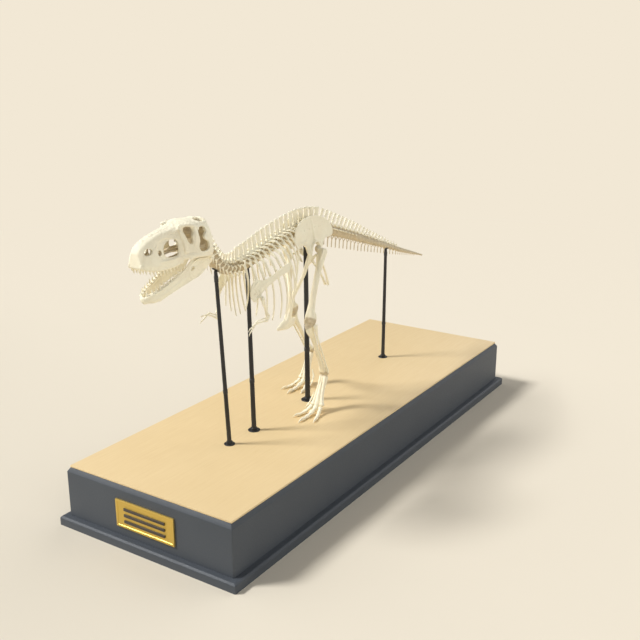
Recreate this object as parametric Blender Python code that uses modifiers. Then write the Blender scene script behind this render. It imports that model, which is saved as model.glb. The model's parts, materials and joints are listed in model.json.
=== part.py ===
"""A life-size mounted Tyrannosaurus skeleton on its museum base.

Metres, +Z up. The head points to -Y and the animal's left side is +X. The origin is on the
floor under the middle of the base, and the backbone lies in the plane x = 0.
"""

import math

import bmesh
import bpy
from mathutils import Matrix, Vector

GAP = 0.0004  # clearance left between two pieces that meet
SIDES = {"left": 1, "right": -1}
X_AXIS = Vector((1, 0, 0))

# ---- base ----
TOP_LENGTH, TOP_WIDTH = 11.5, 3.93
TOP_LEVEL = 1.24
TOP_THICKNESS = 0.037
BODY_OVERHANG, BODY_CHAMFER_DROP = 0.053, 0.083
FOOT_OVERHANG, FOOT_HEIGHT, FOOT_CHAMFER = 0.198, 0.185, 0.035
PLAQUE_WIDTH, PLAQUE_HEIGHT, PLAQUE_THICKNESS = 1.42, 0.56, 0.035
PLAQUE_CENTRE_Z = 0.66
LINE_WIDTH, LINE_HEIGHT, LINE_RELIEF, LINE_PITCH = 1.0, 0.055, 0.012, 0.125

# ---- supports: where each stands, how far its top leans towards the head, and its radius ----
SUPPORTS = {
    "neck": {"foot_y": -3.33, "lean": 0.22, "radius": 0.045},
    "shoulder": {"foot_y": -2.51, "lean": 0.05, "radius": 0.051},
    "hip": {"foot_y": -0.49, "lean": 0.0, "radius": 0.060},
    "tail": {"foot_y": 3.01, "lean": 0.0, "radius": 0.046},
}
FLANGE_RATIO, FLANGE_THICKNESS = 2.5, 0.022
TIP_RATIO = 0.8  # a rod narrows to this share of its radius under the backbone

# ---- backbone: the middle of the centra from the skull to the tail's tip, as (y, z) ----
BACKBONE = [
    (-3.90, 5.52),
    (-3.68, 5.14),
    (-3.38, 4.90),
    (-2.98, 4.835),
    (-2.45, 4.89),
    (-1.70, 5.05),
    (-0.95, 5.16),
    (-0.45, 5.17),
    (0.10, 5.08),
    (1.20, 4.76),
    (2.40, 4.38),
    (3.80, 3.93),
    (5.10, 3.54),
]
# region: (number of vertebrae, y where it ends)
REGIONS = {
    "neck": (10, -3.00),
    "trunk": (13, -0.98),
    "sacrum": (5, -0.08),
    "tail_base": (11, 1.75),
    "tail_middle": (12, 3.62),
    "tail_tip": (13, 5.08),
}

# ---- limbs: joint centres of the left side as (x, y, z); the right side mirrors x ----
HIP = Vector((0.33, -0.58, 4.80))
FEMUR_LENGTH, TIBIA_LENGTH = 1.58, 1.40
FEMUR_TOP_X, KNEE_X, ANKLE_X, FOOT_X = 0.47, 0.52, 0.56, 0.58
FEET = {  # y, z of the ankle and of the toe joint
    "left": {"ankle": (-0.67, 2.05), "toe_joint": (-0.98, 1.40)},
    "right": {"ankle": (0.46, 2.07), "toe_joint": (0.25, 1.39)},
}
ARMS = {  # shoulder joint, elbow, wrist, as (x, y, z)
    "left": ((0.43, -2.86, 4.28), (0.50, -2.64, 3.86), (0.47, -2.96, 3.81)),
    "right": ((0.43, -2.86, 4.28), (0.50, -2.97, 3.82), (0.47, -3.27, 3.91)),
}

# ---- skull, in its own frame: forward from the jaw joint, and up ----
SKULL_LENGTH = 1.61
JAW_JOINT = Vector((0, -4.075, 5.29))
SKULL_PITCH, JAW_PITCH = math.radians(1.5), math.radians(-20.0)
CONDYLE_RADIUS = 0.068

COLOURS = {
    "bone": ((0.86, 0.81, 0.64), 0.55, 0.0),
    "tooth": ((0.90, 0.86, 0.70), 0.4, 0.0),
    "base": ((0.085, 0.09, 0.10), 0.45, 0.0),
    "top": ((0.86, 0.66, 0.36), 0.6, 0.0),
    "steel": ((0.02, 0.02, 0.022), 0.4, 0.6),
    "brass": ((0.78, 0.52, 0.14), 0.3, 1.0),
    "ink": ((0.07, 0.065, 0.06), 0.5, 0.0),
}


# ---------------------------------------------------------------- tools
def material(key):
    made = bpy.data.materials.get(key)
    if made is None:
        made = bpy.data.materials.new(key)
        made.use_nodes = True
        colour, roughness, metallic = COLOURS[key]
        shader = made.node_tree.nodes["Principled BSDF"]
        shader.inputs["Base Color"].default_value = (*colour, 1)
        shader.inputs["Roughness"].default_value = roughness
        shader.inputs["Metallic"].default_value = metallic
    return made


def finished(bm, name, key, collection=None):
    """Turns the bmesh into a named object with its material."""
    bmesh.ops.recalc_face_normals(bm, faces=bm.faces)
    if bm.calc_volume(signed=True) < 0:
        bmesh.ops.reverse_faces(bm, faces=bm.faces)
    mesh = bpy.data.meshes.new(name)
    bm.to_mesh(mesh)
    bm.free()
    mesh.shade_smooth()
    mesh.set_sharp_from_angle(angle=math.radians(35))
    obj = bpy.data.objects.new(name, mesh)
    mesh.materials.append(material(key))
    (collection or skeleton).objects.link(obj)
    return obj


def combine(target, other, operation):
    """Adds a Boolean to target; other becomes a hidden helper."""
    modifier = target.modifiers.new(other.name, "BOOLEAN")
    modifier.object = other
    modifier.operation = operation
    other.hide_render = True
    other.display_type = "WIRE"


def polygon(sides, turn=0.5):
    """Unit ring of (across, up) points; with turn 0.5 a flat side faces up."""
    return [
        (math.sin(2 * math.pi * (k + turn) / sides), math.cos(2 * math.pi * (k + turn) / sides))
        for k in range(sides)
    ]


def loft(bm, sections, closed_ends=(True, True)):
    """Joins rings of equal length with quads. Returns the faces as [segment][side]."""
    rings = [[bm.verts.new(point) for point in section] for section in sections]
    count = len(rings[0])
    faces = [
        [
            bm.faces.new((a[k], a[(k + 1) % count], b[(k + 1) % count], b[k]))
            for k in range(count)
        ]
        for a, b in zip(rings, rings[1:])
    ]
    for ring, closed in zip((rings[0], rings[-1]), closed_ends):
        if closed:
            bm.faces.new(ring)
    return faces


def grow(bm, face, centre, u, v):
    """Extrudes a four-sided face and puts its corners at centre +-u +-v."""
    end = bmesh.ops.extrude_discrete_faces(bm, faces=[face])["faces"][0]
    middle = end.calc_center_median()
    for vert in end.verts:
        arm = vert.co - middle
        vert.co = centre + u * math.copysign(1, arm.dot(u)) + v * math.copysign(1, arm.dot(v))
    return end


def blend(a, b, t):
    return a + (b - a) * t


def between(table, t):
    """Reads a value, or a tuple of them, from (t, value...) rows by straight interpolation."""
    for low, high in zip(table, table[1:]):
        if t <= high[0]:
            share = max(0.0, (t - low[0]) / (high[0] - low[0]))
            values = [blend(p, q, share) for p, q in zip(low[1:], high[1:])]
            return values[0] if len(values) == 1 else values
    return table[-1][1] if len(table[-1]) == 2 else list(table[-1][1:])


def slide_to_plane(ring, axis, point, normal, clearance):
    """Moves ring points along axis until they lie in the plane, less the clearance."""
    step = normal.dot(axis)
    return [p + axis * ((normal.dot(point - p) - clearance) / step) for p in ring]


def long_bone(bm, top, bottom, stations, sides=8, profile=None, before=None, after=None):
    """Lofts a limb bone from top to bottom.

    Each station is (share of the length, half across, half deep, shift out, shift forward).
    With the bone before or after it in the limb given as a direction, the end is cut on the
    plane that halves the bend, so that the two ends face each other.
    Returns the faces and the bone's own across and forward directions.
    """
    axis = bottom - top
    out = X_AXIS * math.copysign(1, top.x + bottom.x)
    across = (out - axis * out.dot(axis) / axis.length_squared).normalized()
    forward = axis.normalized().cross(X_AXIS).normalized()
    if forward.y > 0:
        forward.negate()
    ring = profile or polygon(sides)
    sections = []
    for share, half_across, half_deep, *shifts in stations:
        out_shift, forward_shift = (shifts + [0, 0])[:2]
        centre = top + axis * share + across * out_shift + forward * forward_shift
        sections.append(
            [centre + across * (p * half_across) + forward * (q * half_deep) for p, q in ring]
        )
    run = axis.normalized()
    if before is not None:
        normal = (run + before.normalized()).normalized()
        sections[0] = slide_to_plane(sections[0], run, top, normal, -GAP / 2)
    if after is not None:
        normal = (run + after.normalized()).normalized()
        sections[-1] = slide_to_plane(sections[-1], run, bottom, normal, GAP / 2)
    return loft(bm, sections), across, forward


ROD_SIDES = 6


def rod_along(bm, points, radii):
    """Lofts a bar of changing radius through points that lie near a vertical plane."""
    sections = []
    ring = polygon(ROD_SIDES)
    for k, point in enumerate(points):
        run = (points[min(k + 1, len(points) - 1)] - points[max(k - 1, 0)]).normalized()
        across = run.cross(Vector((0, 0, 1)))
        if across.length < 0.3:
            across = X_AXIS - run * run.x
        across.normalize()
        lift = across.cross(run).normalized()
        sections.append(
            [point + across * (p * radii[k]) + lift * (q * radii[k]) for p, q in ring]
        )
    return loft(bm, sections)


def mirrored(point, side):
    return Vector((point[0] * SIDES[side], point[1], point[2]))


# ---------------------------------------------------------------- backbone
class Backbone:
    """The smooth route through BACKBONE, read by distance from the skull."""

    STEPS = 40

    def __init__(self, route):
        points = [Vector((0, y, z)) for y, z in route]
        points = [2 * points[0] - points[1], *points, 2 * points[-1] - points[-2]]
        self.points = []
        for a, b, c, d in zip(points, points[1:], points[2:], points[3:]):
            for k in range(self.STEPS):
                t = k / self.STEPS
                self.points.append(
                    0.5
                    * (
                        2 * b
                        + (c - a) * t
                        + (2 * a - 5 * b + 4 * c - d) * t**2
                        + (3 * b - a - 3 * c + d) * t**3
                    )
                )
        self.points.append(points[-2])
        self.distances = [0.0]
        for a, b in zip(self.points, self.points[1:]):
            self.distances.append(self.distances[-1] + (b - a).length)

    def at(self, distance):
        """Position, direction towards the tail, and up."""
        k = 1
        while k < len(self.points) - 1 and self.distances[k] < distance:
            k += 1
        a, b = self.points[k - 1], self.points[k]
        share = (distance - self.distances[k - 1]) / (self.distances[k] - self.distances[k - 1])
        along = (b - a).normalized()
        return a.lerp(b, share), along, X_AXIS.cross(along)

    def distance_of(self, y):
        k = next(k for k, point in enumerate(self.points) if point.y >= y)
        a, b = self.points[k - 1], self.points[k]
        return self.distances[k - 1] + (b - a).length * (y - a.y) / (b.y - a.y)


HALF_RING_FLAT = 0.38  # share of the radius that the flat top and bottom reach out to
# where each kind of outline has the faces that processes grow from, left then right
RING_FACES = {
    8: {"top": (7, 7), "upper": (0, 6), "lower": (2, 4), "bottom": (3, 3)},
    6: {"top": (5, 5), "upper": (0, 4), "lower": (1, 3), "bottom": (2, 2)},
    "half": {"top": (0, 0), "upper": (1, 1), "lower": (3, 3), "bottom": (4, 4)},
}
CENTRUM_BACK = 0.84  # a centrum narrows towards its back end to this share
BODY_SHARE = 0.80  # the part of each vertebra's length that carries its processes

# region: rows of (share along it, radius, height of the spine's tip above the middle)
SIZES = {
    "neck": [(0, 0.085, 0.18), (0.2, 0.105, 0.27), (0.7, 0.11, 0.28), (1, 0.115, 0.36)],
    "trunk": [(0, 0.115, 0.40), (0.4, 0.12, 0.49), (1, 0.125, 0.51)],
    "sacrum": [(0, 0.125, 0.51), (1, 0.12, 0.47)],
    "tail_base": [(0, 0.12, 0.46), (1, 0.095, 0.30)],
    "tail_middle": [(0, 0.095, 0.29), (1, 0.058, 0.10)],
    "tail_tip": [(0, 0.058, 0.09), (1, 0.022, 0.03)],
}


def ring_of(radius, sides, side=None):
    """The centrum's outline: whole, or one half of it that ends at the middle plane."""
    if side is None:
        return [(p * radius, q * radius) for p, q in polygon(sides)]
    flat, reach = HALF_RING_FLAT * radius, 0.92 * radius
    half = [(GAP / 2, reach), (flat, reach), (reach, flat), (reach, -flat)]
    half += [(flat, -reach), (GAP / 2, -reach)]
    return [(p * SIDES[side], q) for p, q in half]


class Vertebra:
    """Where one vertebra stands, its size, and the faces of its body that processes grow from."""

    def __init__(self, centre, along, up, length, radius, spine, faces, kind, side):
        self.centre, self.along, self.up = centre, along, up
        self.length, self.radius, self.spine = length, radius, spine
        self.faces, self.kind, self.side = faces, kind, side

    def face(self, place, sign=1):
        return self.faces[RING_FACES[self.kind][place][0 if sign > 0 else 1]]

    def place(self, across, lift, back=0.0):
        return self.centre + X_AXIS * across + self.up * lift + self.along * back


def layout(region):
    """Where a region starts and ends along the backbone, its count and its spacing."""
    names = list(REGIONS)
    first = names.index(region)
    start = backbone.distance_of(REGIONS[names[first - 1]][1]) if first else 0.0
    count, end_y = REGIONS[region]
    end = backbone.distance_of(end_y)
    return start + GAP, end - GAP, count, (end - start - 2 * GAP) / count


def seat_under(y):
    """The middle of the flat underside of the vertebra above y, and its slope."""
    distance = backbone.distance_of(y)
    for region, sizes in SIZES.items():
        start, end, count, pitch = layout(region)
        if start <= distance <= end:
            k = int((distance - start) / pitch)
            radius = between(sizes, (k + 0.5) / count)[0] * math.cos(math.pi / 8)
            ends = []
            for share, size in ((0.0, radius), (BODY_SHARE, radius * CENTRUM_BACK)):
                point, _, up = backbone.at(start + (k + share) * pitch)
                ends.append(point - up * size)
            return (ends[0] + ends[1]) / 2, (ends[1] - ends[0]).normalized()
    return None


def region_column(bm, region, sides=8, side=None):
    """The centra of one region as one closed bar, stepped at every joint."""
    start, end, count, pitch = layout(region)
    sections, spots = [], []
    for k in range(count):
        radius, spine = between(SIZES[region], (k + 0.5) / count)
        for share, size in ((0.0, radius), (BODY_SHARE, radius * CENTRUM_BACK)):
            point, along, up = backbone.at(start + (k + share) * pitch)
            sections.append([point + X_AXIS * p + up * q for p, q in ring_of(size, sides, side)])
        spots.append((*backbone.at(start + (k + BODY_SHARE / 2) * pitch), radius, spine))
    point, along, up = backbone.at(end)
    last = radius * CENTRUM_BACK
    sections.append([point + X_AXIS * p + up * q for p, q in ring_of(last, sides, side)])
    faces = loft(bm, sections)
    kind = "half" if side else sides
    return [
        Vertebra(point, along, up, pitch, radius, spine, faces[2 * k], kind, side)
        for k, (point, along, up, radius, spine) in enumerate(spots)
    ]


def add_spine(bm, v, lean=0.0, thickness=0.022, top_share=0.34, arch_share=0.38, arched=True):
    """Neural arch and spine, standing up from the top of the centrum."""
    sign = SIDES.get(v.side, 0)
    face = v.face("top")

    def slab(half):
        """Middle and half width of the slab: across both sides, or on one side only."""
        if sign:
            return sign * (GAP / 2 + half / 2), half / 2
        return 0.0, half

    if arched:
        middle, half = slab(0.42 * v.radius)
        top = min(v.radius * 1.55, 0.6 * v.spine + 0.4 * v.radius)
        along = v.along * (arch_share * v.length)
        face = grow(bm, face, v.place(middle, top), X_AXIS * half, along)
    middle, half = slab(thickness)
    along = v.along * (top_share * v.length)
    grow(bm, face, v.place(middle, v.spine, lean), X_AXIS * half, along)


def add_process(bm, v, sign, reach, lift, half_height, along_share=0.26, back=0.0):
    """A side process; returns its end face."""
    centre = v.place(sign * reach, lift, back)
    along = v.along * (along_share * v.length)
    return grow(bm, v.face("upper", sign), centre, v.up * half_height, along)


def build_neck():
    bm = bmesh.new()
    for k, v in enumerate(region_column(bm, "neck")):
        add_spine(bm, v, 0.01, thickness=0.03, top_share=0.13, arch_share=0.22)
        if k == 0:
            continue
        for sign in (1, -1):
            add_process(bm, v, sign, 1.75 * v.radius, 0.5 * v.radius, 0.028)
            # the cervical rib: a flat spike that points back from low on the centrum
            tip = v.place(sign * 1.4 * v.radius, -1.5 * v.radius, 0.8 * v.length)
            grow(bm, v.face("lower", sign), tip, v.up * 0.010, v.along * 0.015)
    finished(bm, "neck", "bone")


# trunk ribs: (share along the trunk, half width of the cage, drop below the backbone)
CAGE = [(0, 0.28, 0.80), (0.2, 0.43, 1.18), (0.45, 0.54, 1.28), (0.75, 0.53, 1.08), (1, 0.38, 0.60)]
RIB_STEPS = 5
RIB_HALF_WIDTH, RIB_HALF_THICKNESS = 0.030, 0.017
RIB_PAIRS = 11


def rib_point(v, share, t):
    """A point of the rib that hangs from v: t runs from 0 at its head to 1 at its tip."""
    half_width, drop = between(CAGE, share)
    head = 0.95 * v.radius
    swing = math.radians(18 + 112 * t)
    across = head + (half_width - head) * math.sin(swing) ** 0.8
    lift = 0.10 - (drop + 0.10) * t**1.15
    sweep = -0.02 + 0.10 * t - 0.16 * t * t
    return v.place(SIDES[v.side] * across, lift, sweep)


def build_rib_cage(side):
    """One side of the rib cage with its half of the trunk's vertebrae."""
    bm = bmesh.new()
    sign = SIDES[side]
    column = region_column(bm, "trunk", side=side)
    for k, v in enumerate(column):
        add_spine(bm, v, lean=0.01, thickness=0.03)
        reach = min(1.65, 1.05 + 0.35 * (len(column) - 1 - k)) * v.radius
        face = add_process(bm, v, sign, reach, 0.95 * v.radius, 0.026, 0.22)
        if k >= RIB_PAIRS:
            continue
        share = k / (RIB_PAIRS - 1)
        for step in range(1, RIB_STEPS + 1):
            t = step / RIB_STEPS
            point = rib_point(v, share, t)
            run = (rib_point(v, share, t + 0.02) - rib_point(v, share, t - 0.02)).normalized()
            thin = run.cross(v.along).normalized()
            taper = 1.0 - 0.35 * t
            face = grow(
                bm,
                face,
                point,
                thin * RIB_HALF_THICKNESS * taper,
                (v.along - run * v.along.dot(run)).normalized() * RIB_HALF_WIDTH * taper,
            )
    finished(bm, f"rib_cage_{side}", "bone")


SACRAL_REACH = 0.16


def build_sacrum():
    bm = bmesh.new()
    for v in region_column(bm, "sacrum"):
        add_spine(bm, v, thickness=0.03, top_share=0.40, arch_share=0.40)
        for sign in (1, -1):
            add_process(bm, v, sign, SACRAL_REACH, 0.07, 0.045, 0.30)
    finished(bm, "sacrum", "bone")


def build_tail(region, processes, chevron_drop, spines, arched=True):
    """A length of tail: spines above, chevrons below, and side processes near the hips."""
    bm = bmesh.new()
    column = region_column(bm, region, sides=6)
    for k, v in enumerate(column):
        share = k / (len(column) - 1)
        if k < spines:
            lean = 0.3 * v.length
            add_spine(bm, v, lean, thickness=0.018, top_share=0.26, arched=arched)
        if k < processes:
            reach = v.radius * (blend(2.3, 1.3, k / processes) if k > 1 else 1.2)
            for sign in (1, -1):
                add_process(bm, v, sign, reach, 0.25 * v.radius, 0.018, 0.2, 0.03)
        drop = between(chevron_drop, share)
        over_rod = abs(v.centre.y - seats["tail"][0].y) < 0.5 * v.length
        if drop and not over_rod:
            back = 0.35 * v.length
            end = v.place(0, -(v.radius + drop), back)
            grow(bm, v.face("bottom"), end, X_AXIS * 0.012, v.along * (0.16 * v.length))
    finished(bm, region, "bone")


# ---------------------------------------------------------------- skull and jaw
def skull_frame(pitch):
    """Matrix from (across, forward, up) at the jaw joint to the world."""
    forward = Vector((0, -math.cos(pitch), math.sin(pitch)))
    up = Vector((0, math.sin(pitch), math.cos(pitch)))
    turn = Matrix((X_AXIS, forward, up)).transposed().to_4x4()
    return Matrix.Translation(JAW_JOINT) @ turn


# cross-sections, as shares of the skull's length forward of the jaw joint:
# forward, bottom, top, half width at the tooth line, at the cheek, at the brow, on the roof
SKULL_SECTIONS = [
    (-0.045, 0.14, 0.31, 0.100, 0.135, 0.110, 0.055),
    (-0.01, 0.003, 0.41, 0.195, 0.225, 0.165, 0.060),
    (0.06, 0.003, 0.455, 0.205, 0.240, 0.180, 0.075),
    (0.20, 0.020, 0.445, 0.205, 0.245, 0.190, 0.095),
    (0.30, 0.030, 0.45, 0.185, 0.220, 0.175, 0.095),
    (0.38, 0.015, 0.42, 0.158, 0.185, 0.140, 0.075),
    (0.52, -0.020, 0.385, 0.138, 0.152, 0.105, 0.058),
    (0.70, -0.035, 0.350, 0.125, 0.135, 0.090, 0.048),
    (0.86, -0.020, 0.295, 0.120, 0.128, 0.085, 0.042),
    (0.955, 0.000, 0.240, 0.105, 0.112, 0.075, 0.038),
    (1.0, 0.020, 0.17, 0.075, 0.082, 0.058, 0.032),
]
# openings through the skull: forward, up, half length, half height, lean, corners
SKULL_OPENINGS = {
    "nostril": (0.885, 0.185, 0.050, 0.030, -25, 8),
    "maxillary": (0.735, 0.150, 0.026, 0.030, 0, 8),
    "antorbital": (0.585, 0.175, 0.090, 0.085, 12, 9),
    "orbit": (0.335, 0.300, 0.052, 0.092, -8, 10),
    "temporal": (0.150, 0.235, 0.050, 0.110, 10, 8),
}


def side_ring(bottom, top, low, cheek, brow, roof):
    """Ring of a head section: eight corners, mirrored about the middle plane."""
    height = top - bottom
    half = [
        (roof, top),
        (brow, bottom + 0.88 * height),
        (cheek, bottom + 0.42 * height),
        (low, bottom),
    ]
    return half + [(-across, up) for across, up in reversed(half)]


def teeth(bm, rows, radius_share=0.30):
    """Cones along the jaws; each row is (root point, tip point)."""
    for root, tip in rows:
        axis = tip - root
        length = axis.length
        turn = axis.to_track_quat("Z", "Y").to_matrix().to_4x4()
        bmesh.ops.create_cone(
            bm,
            cap_ends=True,
            segments=4,
            radius1=length * radius_share,
            radius2=0,
            depth=length,
            matrix=Matrix.Translation(root + axis / 2) @ turn,
        )


UPPER_TEETH, LOWER_TEETH = 12, 11
UPPER_TOOTH_ROW, LOWER_TOOTH_ROW = (0.985, 0.44), (0.955, 0.40)  # first and last, forward
UPPER_TOOTH_SIZE, LOWER_TOOTH_SIZE = 0.105, 0.085
# the palate's vault: forward, height, half width
VAULT = [(0.065, 0.16, 0.178), (0.24, 0.16, 0.178), (0.40, 0.11, 0.125), (0.94, 0.07, 0.065)]


def upper_tooth_rows(frame):
    rows = []
    for sign in (1, -1):
        for k in range(UPPER_TEETH):
            forward = blend(*UPPER_TOOTH_ROW, (k / (UPPER_TEETH - 1)) ** 0.95)
            bottom, _, low, *_ = between(SKULL_SECTIONS, forward)
            size = UPPER_TOOTH_SIZE * math.sin(math.pi * blend(0.20, 0.86, k / (UPPER_TEETH - 1)))
            root = Vector((sign * (low - 0.018), forward, bottom + 0.025)) * SKULL_LENGTH
            tip = root + Vector((sign * 0.003, -0.012, -(0.035 + size) * 1.15))
            rows.append((frame @ root, frame @ tip))
    return rows


def build_skull():
    frame = skull_frame(SKULL_PITCH)
    bm = bmesh.new()
    sections = []
    for forward, *sizes in SKULL_SECTIONS:
        ring = side_ring(*sizes)
        sections.append([frame @ (Vector((p, forward, q)) * SKULL_LENGTH) for p, q in ring])
    loft(bm, sections)
    skull = finished(bm, "skull", "bone")
    for name, (forward, up, half_length, half_height, lean, corners) in SKULL_OPENINGS.items():
        bm = bmesh.new()
        bmesh.ops.create_cone(
            bm, cap_ends=True, segments=corners, radius1=1, radius2=1, depth=0.8
        )
        bm.transform(Matrix.Diagonal((half_height, half_length, 1, 1)))
        bm.transform(Matrix.Rotation(math.radians(90), 4, "Y"))
        bm.transform(Matrix.Rotation(math.radians(lean), 4, "X"))
        bm.transform(Matrix.Translation((0, forward, up)))
        bm.transform(frame @ Matrix.Scale(SKULL_LENGTH, 4))
        combine(skull, finished(bm, f"cut_{name}", "bone", helpers), "DIFFERENCE")
    # the vaulted palate between the tooth rows
    bm = bmesh.new()
    rings = []
    for forward, rise, half in VAULT:
        ring = [(half, -0.2), (half, rise * 0.6), (half * 0.6, rise)]
        ring += [(-p, q) for p, q in reversed(ring)]
        rings.append([frame @ (Vector((p, forward, q)) * SKULL_LENGTH) for p, q in ring])
    loft(bm, rings)
    combine(skull, finished(bm, "cut_palate", "bone", helpers), "DIFFERENCE")
    # the condyle, a short knob that carries the head on the neck
    end, along, up = backbone.at(0)
    bm = bmesh.new()
    rings = [
        [
            end - along * back + X_AXIS * (p * CONDYLE_RADIUS) + up * (q * CONDYLE_RADIUS)
            for p, q in polygon(6)
        ]
        for back in (0.20, GAP)
    ]
    loft(bm, rings)
    combine(skull, finished(bm, "condyle", "bone", helpers), "UNION")
    bm = bmesh.new()
    teeth(bm, upper_tooth_rows(frame))
    combine(skull, finished(bm, "upper_teeth", "tooth", helpers), "UNION")


# the left half of the jaw: forward, across, bottom, top, half thickness, as shares
JAW_SECTIONS = [
    (-0.055, 0.175, -0.035, -0.004, 0.022),
    (0.00, 0.175, -0.075, -0.003, 0.034),
    (0.055, 0.160, -0.095, 0.020, 0.028),
    (0.13, 0.145, -0.120, 0.100, 0.024),
    (0.27, 0.150, -0.125, 0.115, 0.024),
    (0.42, 0.142, -0.100, 0.070, 0.026),
    (0.65, 0.118, -0.085, 0.042, 0.027),
    (0.85, 0.088, -0.085, 0.042, 0.027),
    (0.95, 0.060, -0.060, 0.050, 0.026),
]
JAW_CHIN = (0.985, -0.030, 0.045)  # forward, bottom, top where the halves meet
JAW_LENGTH = 1.55


def build_jaw():
    frame = skull_frame(JAW_PITCH)
    bm = bmesh.new()
    sections = []
    for k, (forward, across, bottom, top, half) in enumerate(JAW_SECTIONS):
        middle = blend(bottom, top, 0.5)
        ring = [
            (across - 0.6 * half, top),
            (across + 0.6 * half, top),
            (across + half, middle),
            (across + 0.5 * half, bottom),
            (across - 0.5 * half, bottom),
            (across - half, middle),
        ]
        sections.append([frame @ (Vector((p, forward, q)) * JAW_LENGTH) for p, q in ring])
    forward, bottom, top = JAW_CHIN
    middle = blend(bottom, top, 0.5)
    back = 0.905
    chin = [(back, top), (forward, top), (forward + 0.01, middle), (forward - 0.02, bottom)]
    chin += [(back - 0.01, bottom), (back - 0.02, middle)]
    sections.append([frame @ (Vector((0, p, q)) * JAW_LENGTH) for p, q in chin])
    loft(bm, sections, closed_ends=(True, False))
    jaw = finished(bm, "lower_jaw", "bone")
    mirror = jaw.modifiers.new("other_half", "MIRROR")
    mirror.use_axis = (True, False, False)
    mirror.merge_threshold = 0.0001
    rows = []
    for sign in (1, -1):
        for k in range(LOWER_TEETH):
            forward = blend(*LOWER_TOOTH_ROW, k / (LOWER_TEETH - 1))
            across, _, top, _ = between(JAW_SECTIONS, forward)
            size = LOWER_TOOTH_SIZE * math.sin(math.pi * blend(0.28, 0.86, k / (LOWER_TEETH - 1)))
            root = Vector((sign * across, forward, top - 0.02)) * JAW_LENGTH
            rows.append((frame @ root, frame @ (root + Vector((0, -0.015, 0.04 + size)))))
    bm = bmesh.new()
    teeth(bm, rows)
    combine(jaw, finished(bm, "lower_teeth", "tooth", helpers), "UNION")


# ---------------------------------------------------------------- hips
ILIUM_X, ILIUM_LEAN = 0.270, math.radians(8)
ILIUM_HALF_THICKNESS = 0.028
SOCKET_RADIUS, SOCKET_ANGLES = 0.125, (20, 55, 90, 125, 160)
# the blade's edge round from its front foot to its rear foot, about the hip joint
ILIUM_EDGE = [(-0.27, -0.09), (-0.34, 0.10), (-0.46, 0.16), (-0.60, 0.08), (-0.69, 0.19)]
ILIUM_EDGE += [(-0.71, 0.36), (-0.57, 0.55), (-0.30, 0.67), (0.02, 0.70), (0.36, 0.63)]
ILIUM_EDGE += [(0.64, 0.48), (0.74, 0.30), (0.68, 0.17), (0.42, 0.18), (0.28, 0.06)]
ILIUM_EDGE += [(0.22, -0.05), (0.13, -0.02)]
FRONT_FOOT_BACK = (-0.14, -0.05)


def plate(name, outline, half_thickness, place):
    """A flat bone: a filled 2D outline given a thickness, as a mesh."""
    curve = bpy.data.curves.new(name, "CURVE")
    curve.dimensions = "2D"
    curve.fill_mode = "BOTH"
    curve.extrude = half_thickness
    spline = curve.splines.new("POLY")
    spline.points.add(len(outline) - 1)
    for point, (x, y) in zip(spline.points, outline):
        point.co = (x, y, 0, 1)
    spline.use_cyclic_u = True
    holder = bpy.data.objects.new(name + "_outline", curve)
    bpy.context.scene.collection.objects.link(holder)
    graph = bpy.context.evaluated_depsgraph_get()
    mesh = bpy.data.meshes.new_from_object(holder.evaluated_get(graph))
    bm = bmesh.new()
    bm.from_mesh(mesh)
    bmesh.ops.remove_doubles(bm, verts=bm.verts, dist=0.0001)
    bm.transform(place)
    bpy.data.objects.remove(holder)
    bpy.data.meshes.remove(mesh)
    return finished(bm, name, "bone")


def side_plane(x, y, z, lean=0.0, turn=0.0):
    """Stands a plate up in a fore-and-aft plane: its x runs towards the tail and its y up."""
    upright = Matrix(((0, 0, 1, 0), (1, 0, 0, 0), (0, 1, 0, 0), (0, 0, 0, 1)))
    return (
        Matrix.Translation((x, y, z))
        @ Matrix.Rotation(turn, 4, "Z")
        @ Matrix.Rotation(lean, 4, "Y")
        @ upright
    )


def build_ilium(side):
    """The hip blade: a long plate with a socket notch between its two feet."""
    turns = [math.radians(degrees) for degrees in SOCKET_ANGLES]
    socket = [(SOCKET_RADIUS * math.cos(a), SOCKET_RADIUS * math.sin(a)) for a in turns]
    outline = [*ILIUM_EDGE, *socket, FRONT_FOOT_BACK]
    place = side_plane(ILIUM_X * SIDES[side], HIP.y, HIP.z, -ILIUM_LEAN * SIDES[side])
    plate(f"ilium_{side}", outline, ILIUM_HALF_THICKNESS, place)


PUBIS_FOOT = Vector((0, -1.27, 3.26))
PUBIS_TOP = Vector((-0.055, -0.205, -0.125))  # from the hip joint
PUBIS_RADII = (0.085, 0.058, 0.055, 0.075)
PUBIS_JOINED, PUBIS_BOW = 0.62, 0.20  # share of the length at which they meet; bow outwards
# the boot: y from the foot, half across, half deep, rise
PUBIC_BOOT = [(-0.34, 0.045, 0.055, -0.05), (-0.16, 0.085, 0.095, -0.02)]
PUBIC_BOOT += [(0.08, 0.075, 0.105, -0.01), (0.30, 0.035, 0.050, 0.03)]
ISCHIUM_TOP = Vector((-0.065, 0.20, -0.105))  # from the hip joint
ISCHIUM_TIP = Vector((0.038, 0.30, 3.78))
ISCHIUM_BOW = [(0.3, Vector((-0.05, 0.02, 0.03))), (0.7, Vector((-0.03, 0.03, 0.04)))]
ISCHIUM_RADII = (0.075, 0.045, 0.033, 0.036)


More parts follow.
